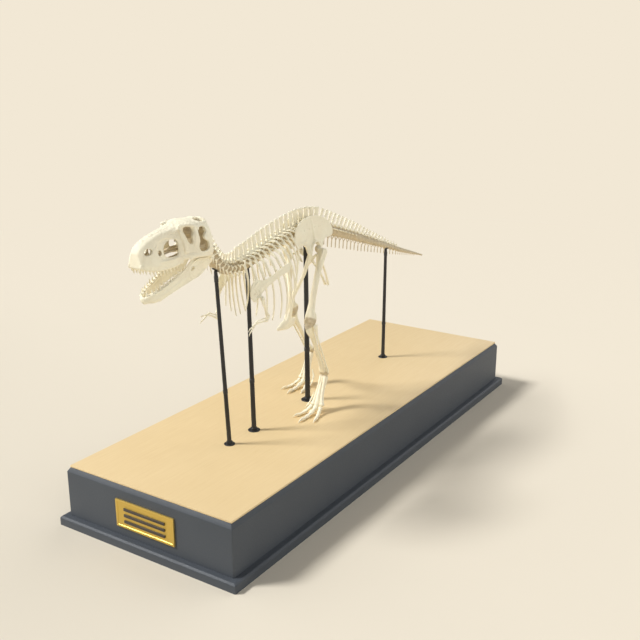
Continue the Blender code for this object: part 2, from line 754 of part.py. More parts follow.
def build_pubes():
    """The two pubic shafts, joined low down and ending in one long boot."""
    parts = []
    for side, sign in SIDES.items():
        bm = bmesh.new()
        top = HIP + PUBIS_TOP
        top.x *= sign
        joined = top.lerp(PUBIS_FOOT, PUBIS_JOINED)
        joined.x = 0.035 * sign
        foot = PUBIS_FOOT + Vector((0.03 * sign, 0, 0.03))
        points = [top, top.lerp(joined, 0.45), joined, foot]
        points[1].x = PUBIS_BOW * sign
        rod_along(bm, points, PUBIS_RADII)
        name = "pubes" if sign > 0 else "pubis_right"
        parts.append(finished(bm, name, "bone", None if sign > 0 else helpers))
    bm = bmesh.new()
    sections = [
        [PUBIS_FOOT + Vector((p * across, y, q * deep + rise)) for p, q in polygon(8)]
        for y, across, deep, rise in PUBIC_BOOT
    ]
    loft(bm, sections)
    combine(parts[0], parts[1], "UNION")
    combine(parts[0], finished(bm, "pubic_boot", "bone", helpers), "UNION")


def build_ischium(side):
    """A slender bar that runs down and back to meet its fellow at the tip."""
    bm = bmesh.new()
    top = HIP + ISCHIUM_TOP
    between_ends = [top.lerp(ISCHIUM_TIP, share) + bow for share, bow in ISCHIUM_BOW]
    points = [mirrored(point, side) for point in (top, *between_ends, ISCHIUM_TIP)]
    rod_along(bm, points, ISCHIUM_RADII)
    finished(bm, f"ischium_{side}", "bone")


# ---------------------------------------------------------------- legs
FEMUR = [
    (-0.015, 0.075, 0.060),
    (0.025, 0.105, 0.095),
    (0.095, 0.095, 0.095),
    (0.20, 0.082, 0.085, 0, 0.005),
    (0.50, 0.074, 0.080, 0, 0.02),
    (0.78, 0.088, 0.085, 0, 0.01),
    (0.915, 0.130, 0.125, 0, -0.015),
    (1.0, 0.105, 0.090, 0, -0.02),
]
FEMUR_HEAD = [(0.0, 0.060, 0.065), (0.60, 0.088, 0.088), (1.0, 0.060, 0.060)]
TIBIA = [
    (0.0, 0.105, 0.100, 0, 0.0),
    (0.075, 0.115, 0.150, 0, 0.03),
    (0.17, 0.086, 0.125, 0, 0.035),
    (0.32, 0.066, 0.072, 0, 0.005),
    (0.70, 0.060, 0.056),
    (0.90, 0.092, 0.062),
    (1.0, 0.095, 0.062, 0, 0.0),
]
FIBULA = [
    (0.03, 0.036, 0.070),
    (0.12, 0.030, 0.050),
    (0.35, 0.022, 0.028),
    (0.96, 0.022, 0.026),
]
FIBULA_OUT = (0.153, 0.119)  # how far outside the shin it stands at its two ends


def knee_of(side):
    """Where thigh and shin meet, bent forward."""
    hip = Vector((HIP.y, HIP.z - 0.02))
    ankle = Vector(FEET[side]["ankle"])
    reach = ankle - hip
    along = (FEMUR_LENGTH**2 - TIBIA_LENGTH**2 + reach.length_squared) / (2 * reach.length)
    bend = math.sqrt(max(0.0, FEMUR_LENGTH**2 - along**2))
    unit = reach.normalized()
    forward = Vector((unit.y, -unit.x))
    if forward.x > 0:
        forward.negate()
    spot = hip + unit * along + forward * bend
    return Vector((KNEE_X * SIDES[side], spot.x, spot.y))


METATARSAL_PROFILE = [(0.30, 0.80), (0.50, 0.60), (0.78, 0.72), (1.0, 0.0), (0.78, -0.72)]
METATARSAL_PROFILE += [(0.50, -0.62), (0.30, -0.80)]
METATARSAL_PROFILE += [(-p, q) for p, q in reversed(METATARSAL_PROFILE)]
METATARSUS = [
    (0.0, 0.105, 0.065),
    (0.12, 0.110, 0.075),
    (0.45, 0.085, 0.060),
    (0.82, 0.125, 0.060),
    (1.0, 0.150, 0.066),
]


def build_leg(side):
    sign = SIDES[side]
    hip, knee = mirrored(HIP, side), knee_of(side)
    top = Vector((FEMUR_TOP_X * sign, hip.y, hip.z + 0.015))
    ankle = Vector((ANKLE_X * sign, *FEET[side]["ankle"]))
    toe_joint = Vector((FOOT_X * sign, *FEET[side]["toe_joint"]))
    thigh, shin, sole = knee - top, ankle - knee, toe_joint - ankle
    bm = bmesh.new()
    long_bone(bm, top, knee, FEMUR, after=shin)
    femur = finished(bm, f"femur_{side}", "bone")
    bm = bmesh.new()
    start, end = top + thigh * 0.045, hip - X_AXIS * (0.055 * sign)
    sections = []
    for share, half_deep, half_tall in FEMUR_HEAD:
        centre = start.lerp(end, share)
        sections.append(
            [centre + Vector((0, p * half_deep, q * half_tall)) for p, q in polygon(8)]
        )
    loft(bm, sections)
    combine(femur, finished(bm, f"femur_head_{side}", "bone", helpers), "UNION")

    bm = bmesh.new()
    _, across, _ = long_bone(bm, knee, ankle, TIBIA, before=thigh, after=sole)
    finished(bm, f"tibia_{side}", "bone")
    bm = bmesh.new()
    high, low = FIBULA_OUT
    long_bone(bm, knee + across * high, ankle + across * low, FIBULA, 6)
    finished(bm, f"fibula_{side}", "bone")
    bm = bmesh.new()
    long_bone(bm, ankle, toe_joint, METATARSUS, profile=METATARSAL_PROFILE, before=shin)
    finished(bm, f"metatarsus_{side}", "bone")
    build_toes(side, toe_joint)


# toe: (shift across, splay in degrees, length, number of joints, radius)
TOES = {
    "inner": (-0.112, -17, 0.56, 3, 0.050),
    "middle": (0.0, 0, 0.72, 4, 0.056),
    "outer": (0.112, 17, 0.58, 5, 0.048),
}
SOLE = TOP_LEVEL + GAP
TOE_ROOT = Vector((0, -0.075, -0.035))  # from the toe joint
# the first toe's points from the toe joint on the left side, and its radii
FIRST_TOE = [(-0.200, 0.08, 0.09), (-0.220, 0.03, 0.02), (-0.230, -0.06, -0.06)]
FIRST_TOE += [(-0.230, -0.13, -0.115)]
FIRST_TOE_RADII = (0.028, 0.024, 0.026, 0.006)


def toe_points(root, heading, length, joints, radius):
    """Knuckles and narrower shafts from the root to the claw's tip, as points and radii."""
    points, radii = [], []
    for k in range(2 * joints + 1):
        t = 0.74 * k / (2 * joints)
        size = radius * (1 - 0.35 * t) * (0.74 if k % 2 else 1.0)
        height = blend(root.z, SOLE + 0.8 * size, math.sin(min(1.0, t * 1.9) * math.pi / 2))
        spot = root + heading * (length * t)
        points.append(Vector((spot.x, spot.y, height)))
        radii.append(size)
    for t, size in ((0.86, 0.62 * radius), (1.0, 0.10 * radius)):
        spot = root + heading * (length * t)
        points.append(Vector((spot.x, spot.y, SOLE + 0.8 * size)))
        radii.append(size)
    return points, radii


def rest_on_sole(bm):
    """Flattens whatever would reach below the top of the base."""
    for vert in bm.verts:
        vert.co.z = max(vert.co.z, SOLE)


def build_toes(side, joint):
    sign = SIDES[side]
    for name, (shift, splay, length, joints, radius) in TOES.items():
        turn = math.radians(splay) * sign
        heading = Vector((math.sin(turn), -math.cos(turn), 0))
        root = joint + TOE_ROOT + X_AXIS * (shift * sign)
        bm = bmesh.new()
        rod_along(bm, *toe_points(root, heading, length, joints, radius))
        rest_on_sole(bm)
        finished(bm, f"toe_{name}_{side}", "bone")
    # the small first toe hangs inside and behind the others
    points = [joint + mirrored(point, side) for point in FIRST_TOE]
    bm = bmesh.new()
    rod_along(bm, points, FIRST_TOE_RADII)
    rest_on_sole(bm)
    finished(bm, f"toe_first_{side}", "bone")


# ---------------------------------------------------------------- arms
HUMERUS = [(0.0, 0.045, 0.050), (0.10, 0.050, 0.062), (0.30, 0.036, 0.052), (0.55, 0.028, 0.030)]
HUMERUS += [(0.85, 0.040, 0.034), (0.97, 0.046, 0.034)]
ULNA = [(-0.10, 0.018, 0.020), (0.04, 0.026, 0.030), (0.4, 0.017, 0.019), (0.95, 0.022, 0.020)]
RADIUS = [(0.06, 0.020, 0.020), (0.4, 0.014, 0.016), (0.95, 0.019, 0.018)]
FOREARM_SPREAD = 0.028
SHOULDER_BLADE = [(-0.05, -0.17), (0.06, -0.06), (0.28, 0.06), (0.66, 0.19), (0.88, 0.24)]
SHOULDER_BLADE += [(0.93, 0.40), (0.66, 0.33), (0.26, 0.19), (0.08, 0.20), (-0.04, 0.24)]
SHOULDER_BLADE += [(-0.17, 0.12), (-0.22, -0.06), (-0.14, -0.18)]
BLADE_HALF_THICKNESS, BLADE_LEAN, BLADE_TURN = 0.018, -0.10, -0.15
HUMERUS_OUT = 0.112  # how far outside the shoulder joint the upper arm hangs
ELBOW_DROP, WRIST_DROP = Vector((0, 0, -0.065)), Vector((0, 0, -0.02))
# finger: turn up or down, length
FINGERS = {"hand": (0.10, 0.27), "second_finger": (-0.32, 0.31)}
FINGER_RADII = (0.030, 0.019, 0.022, 0.014, 0.017, 0.003)


def build_arm(side):
    sign = SIDES[side]
    shoulder, elbow, wrist = (mirrored(point, side) for point in ARMS[side])
    place = side_plane(
        shoulder.x + 0.030 * sign, shoulder.y, shoulder.z + 0.115, BLADE_LEAN * sign, BLADE_TURN * sign
    )
    plate(f"scapula_{side}", SHOULDER_BLADE, BLADE_HALF_THICKNESS, place)

    bm = bmesh.new()
    long_bone(bm, shoulder + X_AXIS * (HUMERUS_OUT * sign), elbow, HUMERUS)
    finished(bm, f"humerus_{side}", "bone")
    run = (wrist - elbow).normalized()
    begin = elbow + run * 0.035 + ELBOW_DROP
    for bone, stations, shift in (("ulna", ULNA, -1), ("radius", RADIUS, 1)):
        bm = bmesh.new()
        offset = Vector((0.012 * sign, 0, 1)) * (FOREARM_SPREAD * shift)
        long_bone(bm, begin + offset, wrist + offset * 0.9 + WRIST_DROP, stations, 6)
        finished(bm, f"{bone}_{side}", "bone")
    build_hand(side, wrist + run * 0.012 + WRIST_DROP, run)


def build_hand(side, root, run):
    """Two fingers that part from one palm, each ending in a claw."""
    sign = SIDES[side]
    parts = []
    for name, (drift, length) in FINGERS.items():
        heading = (run + Vector((0.06 * sign, 0, -0.38 + drift))).normalized()
        points = [root, root + heading * 0.10, root + heading * 0.125]
        points += [root + heading * (0.66 * length), root + heading * (0.72 * length)]
        points += [root + heading * length + Vector((0, 0, -0.03))]
        bm = bmesh.new()
        rod_along(bm, points, FINGER_RADII)
        collection = None if name == "hand" else helpers
        parts.append(finished(bm, f"{name}_{side}", "bone", collection))
    combine(parts[0], parts[1], "UNION")


# ---------------------------------------------------------------- base
def block(name, key, size, centre, chamfer=None, bevel_width=0.0):
    """A box; chamfer pulls its top edges in, bevel_width rounds its upright edges."""
    bm = bmesh.new()
    bmesh.ops.create_cube(bm, size=1, matrix=Matrix.Translation(centre) @ Matrix.Diagonal((*size, 1)))
    if bevel_width:
        upright = [e for e in bm.edges if abs((e.verts[0].co - e.verts[1].co).z) > 0.5 * size[2]]
        bmesh.ops.bevel(
            bm, geom=upright, offset=bevel_width, offset_type="OFFSET", segments=2,
            profile=0.5, affect="EDGES", material=-1,
        )
    if chamfer:
        drop, inward = chamfer
        top = max(bm.faces, key=lambda face: face.calc_center_median().z)
        centre_top = top.calc_center_median()
        raised = bmesh.ops.extrude_discrete_faces(bm, faces=[top])["faces"][0]
        for vert in raised.verts:
            vert.co.x -= math.copysign(inward, vert.co.x - centre_top.x)
            vert.co.y -= math.copysign(inward, vert.co.y - centre_top.y)
            vert.co.z += drop
    return finished(bm, name, key)


def build_base():
    foot_side = FOOT_HEIGHT - FOOT_CHAMFER
    size = (TOP_WIDTH + 2 * FOOT_OVERHANG, TOP_LENGTH + 2 * FOOT_OVERHANG, foot_side)
    block("base_foot", "base", size, (0, 0, foot_side / 2), (FOOT_CHAMFER, FOOT_CHAMFER), 0.02)
    low = FOOT_HEIGHT + GAP
    high = TOP_LEVEL - TOP_THICKNESS - GAP
    height = high - BODY_CHAMFER_DROP - low
    size = (TOP_WIDTH + 2 * BODY_OVERHANG, TOP_LENGTH + 2 * BODY_OVERHANG, height)
    centre = (0, 0, low + height / 2)
    block("base_body", "base", size, centre, (BODY_CHAMFER_DROP, BODY_OVERHANG), 0.03)
    size = (TOP_WIDTH, TOP_LENGTH, TOP_THICKNESS)
    block("base_top", "top", size, (0, 0, TOP_LEVEL - TOP_THICKNESS / 2))

    front = -(TOP_LENGTH / 2 + BODY_OVERHANG) - GAP
    centre = (0, front - PLAQUE_THICKNESS / 2, PLAQUE_CENTRE_Z)
    block("plaque", "brass", (PLAQUE_WIDTH, PLAQUE_THICKNESS, PLAQUE_HEIGHT), centre)
    for k in (-1, 0, 1):
        centre = (
            0,
            front - PLAQUE_THICKNESS - GAP - LINE_RELIEF / 2,
            PLAQUE_CENTRE_Z - 0.01 + k * LINE_PITCH,
        )
        block(f"plaque_line_{2 - k}", "ink", (LINE_WIDTH, LINE_RELIEF, LINE_HEIGHT), centre)


def build_supports():
    """Steel rods that lean from round flanges on the base up to the backbone's underside."""
    for name, data in SUPPORTS.items():
        radius = data["radius"]
        foot = Vector((0, data["foot_y"], TOP_LEVEL + GAP))
        flange_top = foot + Vector((0, 0, FLANGE_THICKNESS))
        bm = bmesh.new()
        bmesh.ops.create_cone(
            bm,
            cap_ends=True,
            segments=16,
            radius1=radius * FLANGE_RATIO,
            radius2=radius * (FLANGE_RATIO - 0.3),
            depth=FLANGE_THICKNESS,
            matrix=Matrix.Translation((foot + flange_top) / 2),
        )
        finished(bm, f"flange_{name}", "steel")
        seat, slope = seats[name]
        start = flange_top + Vector((0, 0, GAP))
        bm = bmesh.new()
        bmesh.ops.create_cone(
            bm,
            cap_ends=True,
            segments=12,
            radius1=radius,
            radius2=radius * TIP_RATIO,
            depth=1,
        )
        for vert in bm.verts:
            across = Vector((vert.co.x, vert.co.y, 0))
            if vert.co.z < 0:
                vert.co = start + across
            else:
                rise = across.y * slope.z / slope.y
                vert.co = seat + across + Vector((0, 0, rise - GAP))
        finished(bm, f"rod_{name}", "steel")


# ---------------------------------------------------------------- build
for old in list(bpy.data.objects):
    bpy.data.objects.remove(old)
skeleton = bpy.data.collections.new("mounted_skeleton")
helpers = bpy.data.collections.new("cutters")
bpy.context.scene.collection.children.link(skeleton)
bpy.context.scene.collection.children.link(helpers)
backbone = Backbone(BACKBONE)
seats = {name: seat_under(data["foot_y"] - data["lean"]) for name, data in SUPPORTS.items()}

build_base()
build_supports()
build_skull()
build_jaw()
build_neck()
build_sacrum()
build_tail("tail_base", 9, [(0, 0.0), (0.12, 0.26), (1, 0.21)], 11)
build_tail("tail_middle", 0, [(0, 0.20), (1, 0.09)], 12, arched=False)
build_tail("tail_tip", 0, [(0, 0.08), (0.7, 0.02), (0.75, 0.0)], 0)
build_pubes()
for each in SIDES:
    build_rib_cage(each)
    build_ilium(each)
    build_ischium(each)
    build_leg(each)
    build_arm(each)
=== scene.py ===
import json
import math

import bmesh
import bpy
from mathutils import Matrix, Vector, noise

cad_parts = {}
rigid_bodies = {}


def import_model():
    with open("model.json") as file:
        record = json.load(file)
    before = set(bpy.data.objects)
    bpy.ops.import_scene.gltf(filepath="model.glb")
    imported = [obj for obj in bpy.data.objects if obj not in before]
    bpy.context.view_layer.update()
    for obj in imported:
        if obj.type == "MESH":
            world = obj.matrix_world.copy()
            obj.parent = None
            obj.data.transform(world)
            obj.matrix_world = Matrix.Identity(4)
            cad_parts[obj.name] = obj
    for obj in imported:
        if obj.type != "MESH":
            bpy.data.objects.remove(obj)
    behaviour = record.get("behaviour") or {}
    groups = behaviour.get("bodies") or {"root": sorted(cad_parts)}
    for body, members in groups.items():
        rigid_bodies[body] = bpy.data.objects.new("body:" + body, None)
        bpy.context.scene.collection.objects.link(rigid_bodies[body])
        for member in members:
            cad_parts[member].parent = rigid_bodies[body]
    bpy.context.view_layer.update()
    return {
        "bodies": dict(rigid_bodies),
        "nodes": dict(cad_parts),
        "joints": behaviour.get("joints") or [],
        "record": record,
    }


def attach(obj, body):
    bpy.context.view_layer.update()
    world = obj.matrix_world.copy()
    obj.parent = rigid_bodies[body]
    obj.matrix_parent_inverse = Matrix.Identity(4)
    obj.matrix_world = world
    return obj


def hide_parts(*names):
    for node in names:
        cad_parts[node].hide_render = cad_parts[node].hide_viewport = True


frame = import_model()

# A life-size Tyrannosaurus skeleton on its museum base. Metres, +Z up, head to -Y, left side +X.
# Each bone is built from overlapping forms, fused into one skin and then softened and pressed.

xAxis, yAxis, zAxis = Vector((1, 0, 0)), Vector((0, 1, 0)), Vector((0, 0, 1))
handed = {"left": 1, "right": -1}
coarse = 1.0
gap = 0.0004
hairline = 0.002  # no limb is thinner than this


# small tools for bones

def mixed(a, b, t):
    return a + (b - a) * t


def readRow(table, t):  # straight interpolation in rows of (t, value, ...)
    for low, high in zip(table, table[1:]):
        if t <= high[0]:
            share = max(0.0, (t - low[0]) / (high[0] - low[0]))
            return [mixed(p, q, share) for p, q in zip(low[1:], high[1:])]
    return list(table[-1][1:])


def easeIn(low, high, value):  # 0 below low, 1 above high, smooth between
    t = min(1.0, max(0.0, (value - low) / (high - low)))
    return t * t * (3 - 2 * t)


def throughPoints(points, steps, closed=False):  # a smooth route through control points
    if closed:
        ends = [points[-1], *points, points[0], points[1]]
    else:
        ends = [2 * points[0] - points[1], *points, 2 * points[-1] - points[-2]]
    route = []
    for a, b, c, d in zip(ends, ends[1:], ends[2:], ends[3:]):
        for k in range(steps):
            t = k / steps
            route.append(0.5 * (2 * b + (c - a) * t + (2 * a - 5 * b + 4 * c - d) * t ** 2
                                + (3 * b - a - 3 * c + d) * t ** 3))
    return route if closed else route + [points[-1].copy()]


def ring(bm, centre, across, lift, sides):  # one oval loop; gives back its edges
    turn = Matrix((across, lift, across.cross(lift).normalized())).transposed().to_4x4()
    turn.translation = centre
    made = bmesh.ops.create_circle(bm, cap_ends=False, segments=sides, radius=1, matrix=turn)
    return list({edge for vert in made["verts"] for edge in vert.link_edges})


def joinRings(bm, loops):
    for low, high in zip(loops, loops[1:]):
        bmesh.ops.bridge_loops(bm, edges=low + high)
    for loop in (loops[0], loops[-1]):
        bmesh.ops.contextual_create(bm, geom=loop)


scratch = bpy.data.meshes.new("scratch")


def added(bm, part):  # a form is made on its own, where operators are quick, and then joins bm
    part.to_mesh(scratch)
    part.free()
    bm.from_mesh(scratch)


def sweep(bm, spots, sides=10):  # joins oval loops (centre, across, lift) into a closed limb
    part = bmesh.new()
    joinRings(part, [ring(part, *spot, sides) for spot in spots])
    added(bm, part)


def limb(bm, path, sizes, side=xAxis, sides=10, steps=3, blunt=0.45):
    # a bar through path; sizes holds (half across, half deep) at each of its points
    route = throughPoints([Vector(p) for p in path], steps)
    grown = throughPoints([Vector((w, d, 0)) for w, d in sizes], steps)
    spots = []
    for k, (point, size) in enumerate(zip(route, grown)):
        run = (route[min(k + 1, len(route) - 1)] - route[max(k - 1, 0)]).normalized()
        across = (side - run * side.dot(run)).normalized()
        lift = run.cross(across).normalized()
        spots.append((point, across * max(size.x, hairline), lift * max(size.y, hairline), run))
    caps = []
    for (point, across, lift, run), sign in ((spots[0], -1), (spots[-1], 1)):
        reach = blunt * min(across.length, lift.length)
        caps.append((point + run * (sign * reach), across * 0.62, lift * 0.62))
    sweep(bm, [caps[0], *[spot[:3] for spot in spots], caps[1]], sides)


def bars(bm, at, rows, side=xAxis, sides=10, sign=1, scale=1):
    # a limb whose rows hold (x, y, z, half across, half deep), placed by at(x, y, z)
    limb(bm, [at(sign * x, y, z) for x, y, z, _, _ in rows],
         [(w * scale, d * scale) for *_, w, d in rows], side, sides)


def blob(bm, centre, radii):  # a rounded lump
    part = bmesh.new()
    bmesh.ops.create_icosphere(part, subdivisions=2, radius=1, matrix=Matrix.LocRotScale(centre, None, radii))
    added(bm, part)


def placed(bm, name):  # turns a bmesh into an object at the origin
    bmesh.ops.recalc_face_normals(bm, faces=bm.faces)
    mesh = bpy.data.meshes.new(name)
    bm.to_mesh(mesh)
    bm.free()
    obj = bpy.data.objects.new(name, mesh)
    bpy.context.scene.collection.objects.link(obj)
    return obj


def applied(obj):  # bakes the object's modifiers into its mesh
    graph = bpy.context.evaluated_depsgraph_get()
    mesh = bpy.data.meshes.new_from_object(obj.evaluated_get(graph))
    obj.modifiers.clear()
    old = obj.data
    obj.data = mesh
    bpy.data.meshes.remove(old)
    return obj


def press(obj, move):  # moves every point by move(spot, normal)
    normals = [Vector(vert.normal) for vert in obj.data.vertices]
    for vert, normal in zip(obj.data.vertices, normals):
        vert.co = vert.co + move(vert.co.copy(), normal)
    obj.data.update()


def fuse(bm, name, cell, relax=4, lumps=0.0):  # melts overlapping forms into one smooth skin
    obj = placed(bm, name)
    remesh = obj.modifiers.new("fuse", "REMESH")
    remesh.mode = "VOXEL"
    remesh.voxel_size = cell * coarse
    smooth = obj.modifiers.new("relax", "SMOOTH")
    smooth.factor = 0.5
    smooth.iterations = relax
    applied(obj)
    if lumps:
        press(obj, lambda spot, normal: normal * (lumps * (
            noise.noise(spot * 9) + 0.6 * noise.noise(spot * 24))))
    return obj


def reopened(obj):  # the object's mesh as a bmesh to add to; the object goes
    bm = bmesh.new()
    bm.from_mesh(obj.data)
    bpy.data.objects.remove(obj)
    return bm


def tanned(obj, shareAt):  # how tan each point is, 0 to 1, kept as the piece's own attribute; inside the skull this tan is painted shade
    layer = obj.data.attributes.new("tanAndShadeShare", "FLOAT", "POINT")
    for vert, item in zip(obj.data.vertices, layer.data):
        item.value = shareAt(vert.co)


def cut(obj, bm):  # takes the closed form in bm away from the object
    tool = placed(bm, "cutter")
    knife = obj.modifiers.new("cut", "BOOLEAN")
    knife.object = tool
    knife.operation = "DIFFERENCE"
    applied(obj)
    bpy.data.objects.remove(tool)


def raisedFrom(bm, face):  # extrudes a face and gives back the new corners
    made = bmesh.ops.extrude_face_region(bm, geom=[face])["geom"]
    return [part for part in made if isinstance(part, bmesh.types.BMVert)]


def outlinePlate(bm, points, thickness, place, steps=5):  # a smooth closed outline with a thickness
    route = throughPoints([Vector((*p, 0)) for p in points], steps, closed=True)
    made = bmesh.ops.create_circle(bm, cap_ends=True, segments=len(route), radius=1)["verts"]
    for vert, spot in zip(made, route):
        vert.co = spot - zAxis * (thickness / 2)
    raised = raisedFrom(bm, made[0].link_faces[0])
    bmesh.ops.translate(bm, vec=zAxis * thickness, verts=raised)
    bmesh.ops.transform(bm, matrix=place, verts=made + raised)
    return [place @ spot for spot in route]


def ready(obj, skin, nodes, crease=50):  # finishes a piece and reports it to the frame
    obj.data.materials.clear()
    obj.data.materials.append(skin)
    obj.data.shade_smooth()
    if crease:
        obj.data.set_sharp_from_angle(angle=math.radians(crease))
    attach(obj, "root")
    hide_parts(*nodes)


# materials: shared effects are node groups, each finish places them with its own values

class Shading:  # adds nodes to one tree; a value given to a socket is a number, a colour or a link
    def __init__(self, tree):
        self.nodes, self.links = tree.nodes, tree.links

    def feed(self, node, values):
        for label, value in values.items():
            if isinstance(value, bpy.types.NodeSocket):
                self.links.new(value, node.inputs[label])
            else:
                node.inputs[label].default_value = value

    def add(self, kind, values, result=0, **settings):
        node = self.nodes.new("ShaderNode" + kind)
        for name, value in settings.items():
            setattr(node, name, value)
        self.feed(node, values)
        return node.outputs[result]

    def objectPoint(self, stretch=(1, 1, 1)):  # the surface point in metres
        place = self.add("TexCoord", {}, "Object")
        return self.add("Mapping", {"Vector": place, "Scale": stretch}, "Vector")

    def noiseAt(self, point, scale, detail=4.0, rough=0.55, distortion=0.0, result="Fac"):
        return self.add("TexNoise", {"Vector": point, "Scale": scale, "Detail": detail, "Roughness": rough,
                                     "Distortion": distortion}, result)

    def rangeOf(self, value, low, high, toLow=0.0, toHigh=1.0):
        return self.add("MapRange", {"Value": value, "From Min": low, "From Max": high, "To Min": toLow,
                                     "To Max": toHigh}, "Result")

    def mathOf(self, kind, a, b):
        return self.add("Math", {0: a, 1: b}, operation=kind)

    def times(self, a, b):
        return self.mathOf("MULTIPLY", a, b)

    def mixColour(self, share, a, b):
        return self.add("Mix", {0: share, 6: a, 7: b}, 2, data_type="RGBA")

    def relief(self, height, strength, distance):  # a bump, given to the tree's own shader
        bump = self.add("Bump", {"Strength": strength, "Distance": distance, "Height": height}, "Normal")
        self.feed(self.nodes["Principled BSDF"], {"Normal": bump})


def effectGroup(name, colours, numbers):  # a group's tree, its inputs by name, and its end
    group = bpy.data.node_groups.new(name, "ShaderNodeTree")
    for kind, labels in (("Color", colours), ("Float", numbers)):
        for label in labels:
            group.interface.new_socket(label, in_out="INPUT", socket_type="NodeSocket" + kind)
    for label, kind in (("Colour", "Color"), ("Roughness", "Float"), ("Height", "Float")):
        group.interface.new_socket(label, in_out="OUTPUT", socket_type="NodeSocket" + kind)
    tree = Shading(group)
    given = group.nodes.new("NodeGroupInput").outputs
    return group, tree, given, group.nodes.new("NodeGroupOutput")


def makeAgedBone():  # colour, roughness and height of fossil bone
    group, tree, given, end = effectGroup("agedBone", ("Pale", "Warm", "Stain", "Tan"),
                                          ("Shade And Stain Share", "Crack Share"))
    mixColour, times, rangeOf, noiseAt = tree.mixColour, tree.times, tree.rangeOf, tree.noiseAt
    pale, warm, stain = given["Pale"], given["Warm"], given["Stain"]
    point = tree.objectPoint()
    broad = rangeOf(noiseAt(point, 2.3, 5), 0.36, 0.66)
    mottle = rangeOf(noiseAt(point, 14, 6, 0.62), 0.38, 0.7)
    colour = mixColour(times(mottle, 0.35), mixColour(broad, pale, warm), warm)
    # the vertebra bodies and the joints are tanner, and the inside of the skull gets tan as painted shade, by
    # each piece's own attribute
    tone = tree.add("Attribute", {}, "Fac", attribute_name="tanAndShadeShare")
    tan = mixColour(times(broad, 0.25), mixColour(times(mottle, 0.35), given["Tan"], warm), stain)
    colour = mixColour(tone, colour, tan)
    # painted shade darkens the hollows, found by pointiness, together with real blotchy stains; edges and
    # knuckles are rubbed pale
    shape = tree.add("NewGeometry", {}, "Pointiness")
    paintedHollowShade, edge = rangeOf(shape, 0.50, 0.43), rangeOf(shape, 0.515, 0.58)
    blotch = rangeOf(noiseAt(point, 6, 5, 0.6, 0.6), 0.42, 0.62)
    # the stain share scales both the painted shade in the hollows and the real blotches
    shadeAndStain = times(tree.mathOf("MAXIMUM", paintedHollowShade, times(blotch, 0.30)), given["Shade And Stain Share"])
    colour = mixColour(shadeAndStain, colour, stain)
    # hairline cracks
    wander = tree.add("VectorMath", {0: noiseAt(point, 9.0, 5.0, 0.5, result="Color"), "Scale": 0.22},
                      operation="SCALE")
    bent = tree.add("VectorMath", {0: point, 1: wander}, operation="ADD")
    crack = tree.add("TexVoronoi", {"Vector": bent, "Scale": 7.0}, "Distance", feature="DISTANCE_TO_EDGE")
    patch = rangeOf(noiseAt(point, 3.1, 3), 0.50, 0.60)
    line = times(times(rangeOf(crack, 0.012, 0.0), patch), given["Crack Share"])
    colour = mixColour(times(line, 0.6), colour, stain)
    spared = tree.mathOf("SUBTRACT", 1.0, tone)
    colour = mixColour(times(times(edge, spared), 0.35), colour, pale)
    fine = noiseAt(point, 85, 5, 0.6)
    pore = tree.add("TexVoronoi", {"Vector": point, "Scale": 120.0}, "Distance")
    height = tree.mathOf("SUBTRACT", fine, rangeOf(pore, 0.22, 0.0, 0.0, 0.35))
    height = tree.mathOf("ADD", height, times(mottle, 0.8))
    tree.feed(end, {
        "Colour": colour,
        "Roughness": tree.mathOf("ADD", rangeOf(fine, 0.3, 0.7, 0.50, 0.66), times(shadeAndStain, 0.15)),
        "Height": tree.mathOf("SUBTRACT", height, times(line, 1.4)),
    })
    return group


def makeWornPaint():  # a coat with slight unevenness and rubbed edges
    group, tree, given, end = effectGroup("wornPaint", ("Coat", "Rubbed"),
                                          ("Gloss Low", "Gloss High", "Grain"))
    point = tree.objectPoint()
    cloud = tree.rangeOf(tree.noiseAt(point, 1.4, 5), 0.35, 0.68)
    edge = tree.rangeOf(tree.add("NewGeometry", {}, "Pointiness"), 0.53, 0.62)
    scuff = tree.rangeOf(tree.noiseAt(point, 11, 6, 0.65), 0.52, 0.72)
    wear = tree.mathOf("MAXIMUM", tree.times(edge, 0.5), tree.times(scuff, 0.12))
    colour = tree.mixColour(wear, given["Coat"], given["Rubbed"])
    grain = tree.noiseAt(point, given["Grain"], 3.0, 0.5)
    tree.feed(end, {
        "Colour": tree.mixColour(tree.times(cloud, 0.10), colour, given["Rubbed"]),
        "Roughness": tree.rangeOf(grain, 0.3, 0.7, given["Gloss Low"], given["Gloss High"]),
        "Height": grain,
    })
    return group


def newFinish(name):
    made = bpy.data.materials.new(name)
    made.use_nodes = True
    return made, Shading(made.node_tree), made.node_tree.nodes["Principled BSDF"]


def finishFrom(name, group, values, bump, metallic=0.0, coat=0.0):
    made, tree, shader = newFinish(name)
    effect = tree.nodes.new("ShaderNodeGroup")
    effect.node_tree = group
    tree.feed(effect, values)
    tree.feed(shader, {"Metallic": metallic, "Coat Weight": coat, "Base Color": effect.outputs["Colour"],
                       "Roughness": effect.outputs["Roughness"]})
    tree.relief(effect.outputs["Height"], *bump)
    return made


def makeBoardFinish():  # pale lacquered board with a faint grain along its length
    made, tree, shader = newFinish("boardFinish")
    light, dark = boardLook["light"], boardLook["dark"]
    grainPoint = tree.objectPoint((1.0, 0.05, 1.0))
    streak = tree.rangeOf(tree.noiseAt(grainPoint, 26, 6, 0.6, 0.4), 0.3, 0.7)
    cloud = tree.rangeOf(tree.noiseAt(tree.objectPoint(), 1.1, 4), 0.35, 0.65)
    colour = tree.mixColour(tree.times(streak, 0.45), light, dark)
    colour = tree.mixColour(tree.times(cloud, 0.25), colour, dark)
    tree.feed(shader, {"Base Color": colour, "Roughness": tree.rangeOf(streak, 0, 1, 0.42, 0.58)})
    tree.relief(streak, 0.15, 0.002)
    return made


def paint(name, coat, rubbed, gloss, grain, bump, metallic=0.0):
    return finishFrom(name, wornPaint, {"Coat": (*coat, 1), "Rubbed": (*rubbed, 1), "Gloss Low": gloss[0],
                                        "Gloss High": gloss[1], "Grain": grain}, bump, metallic)


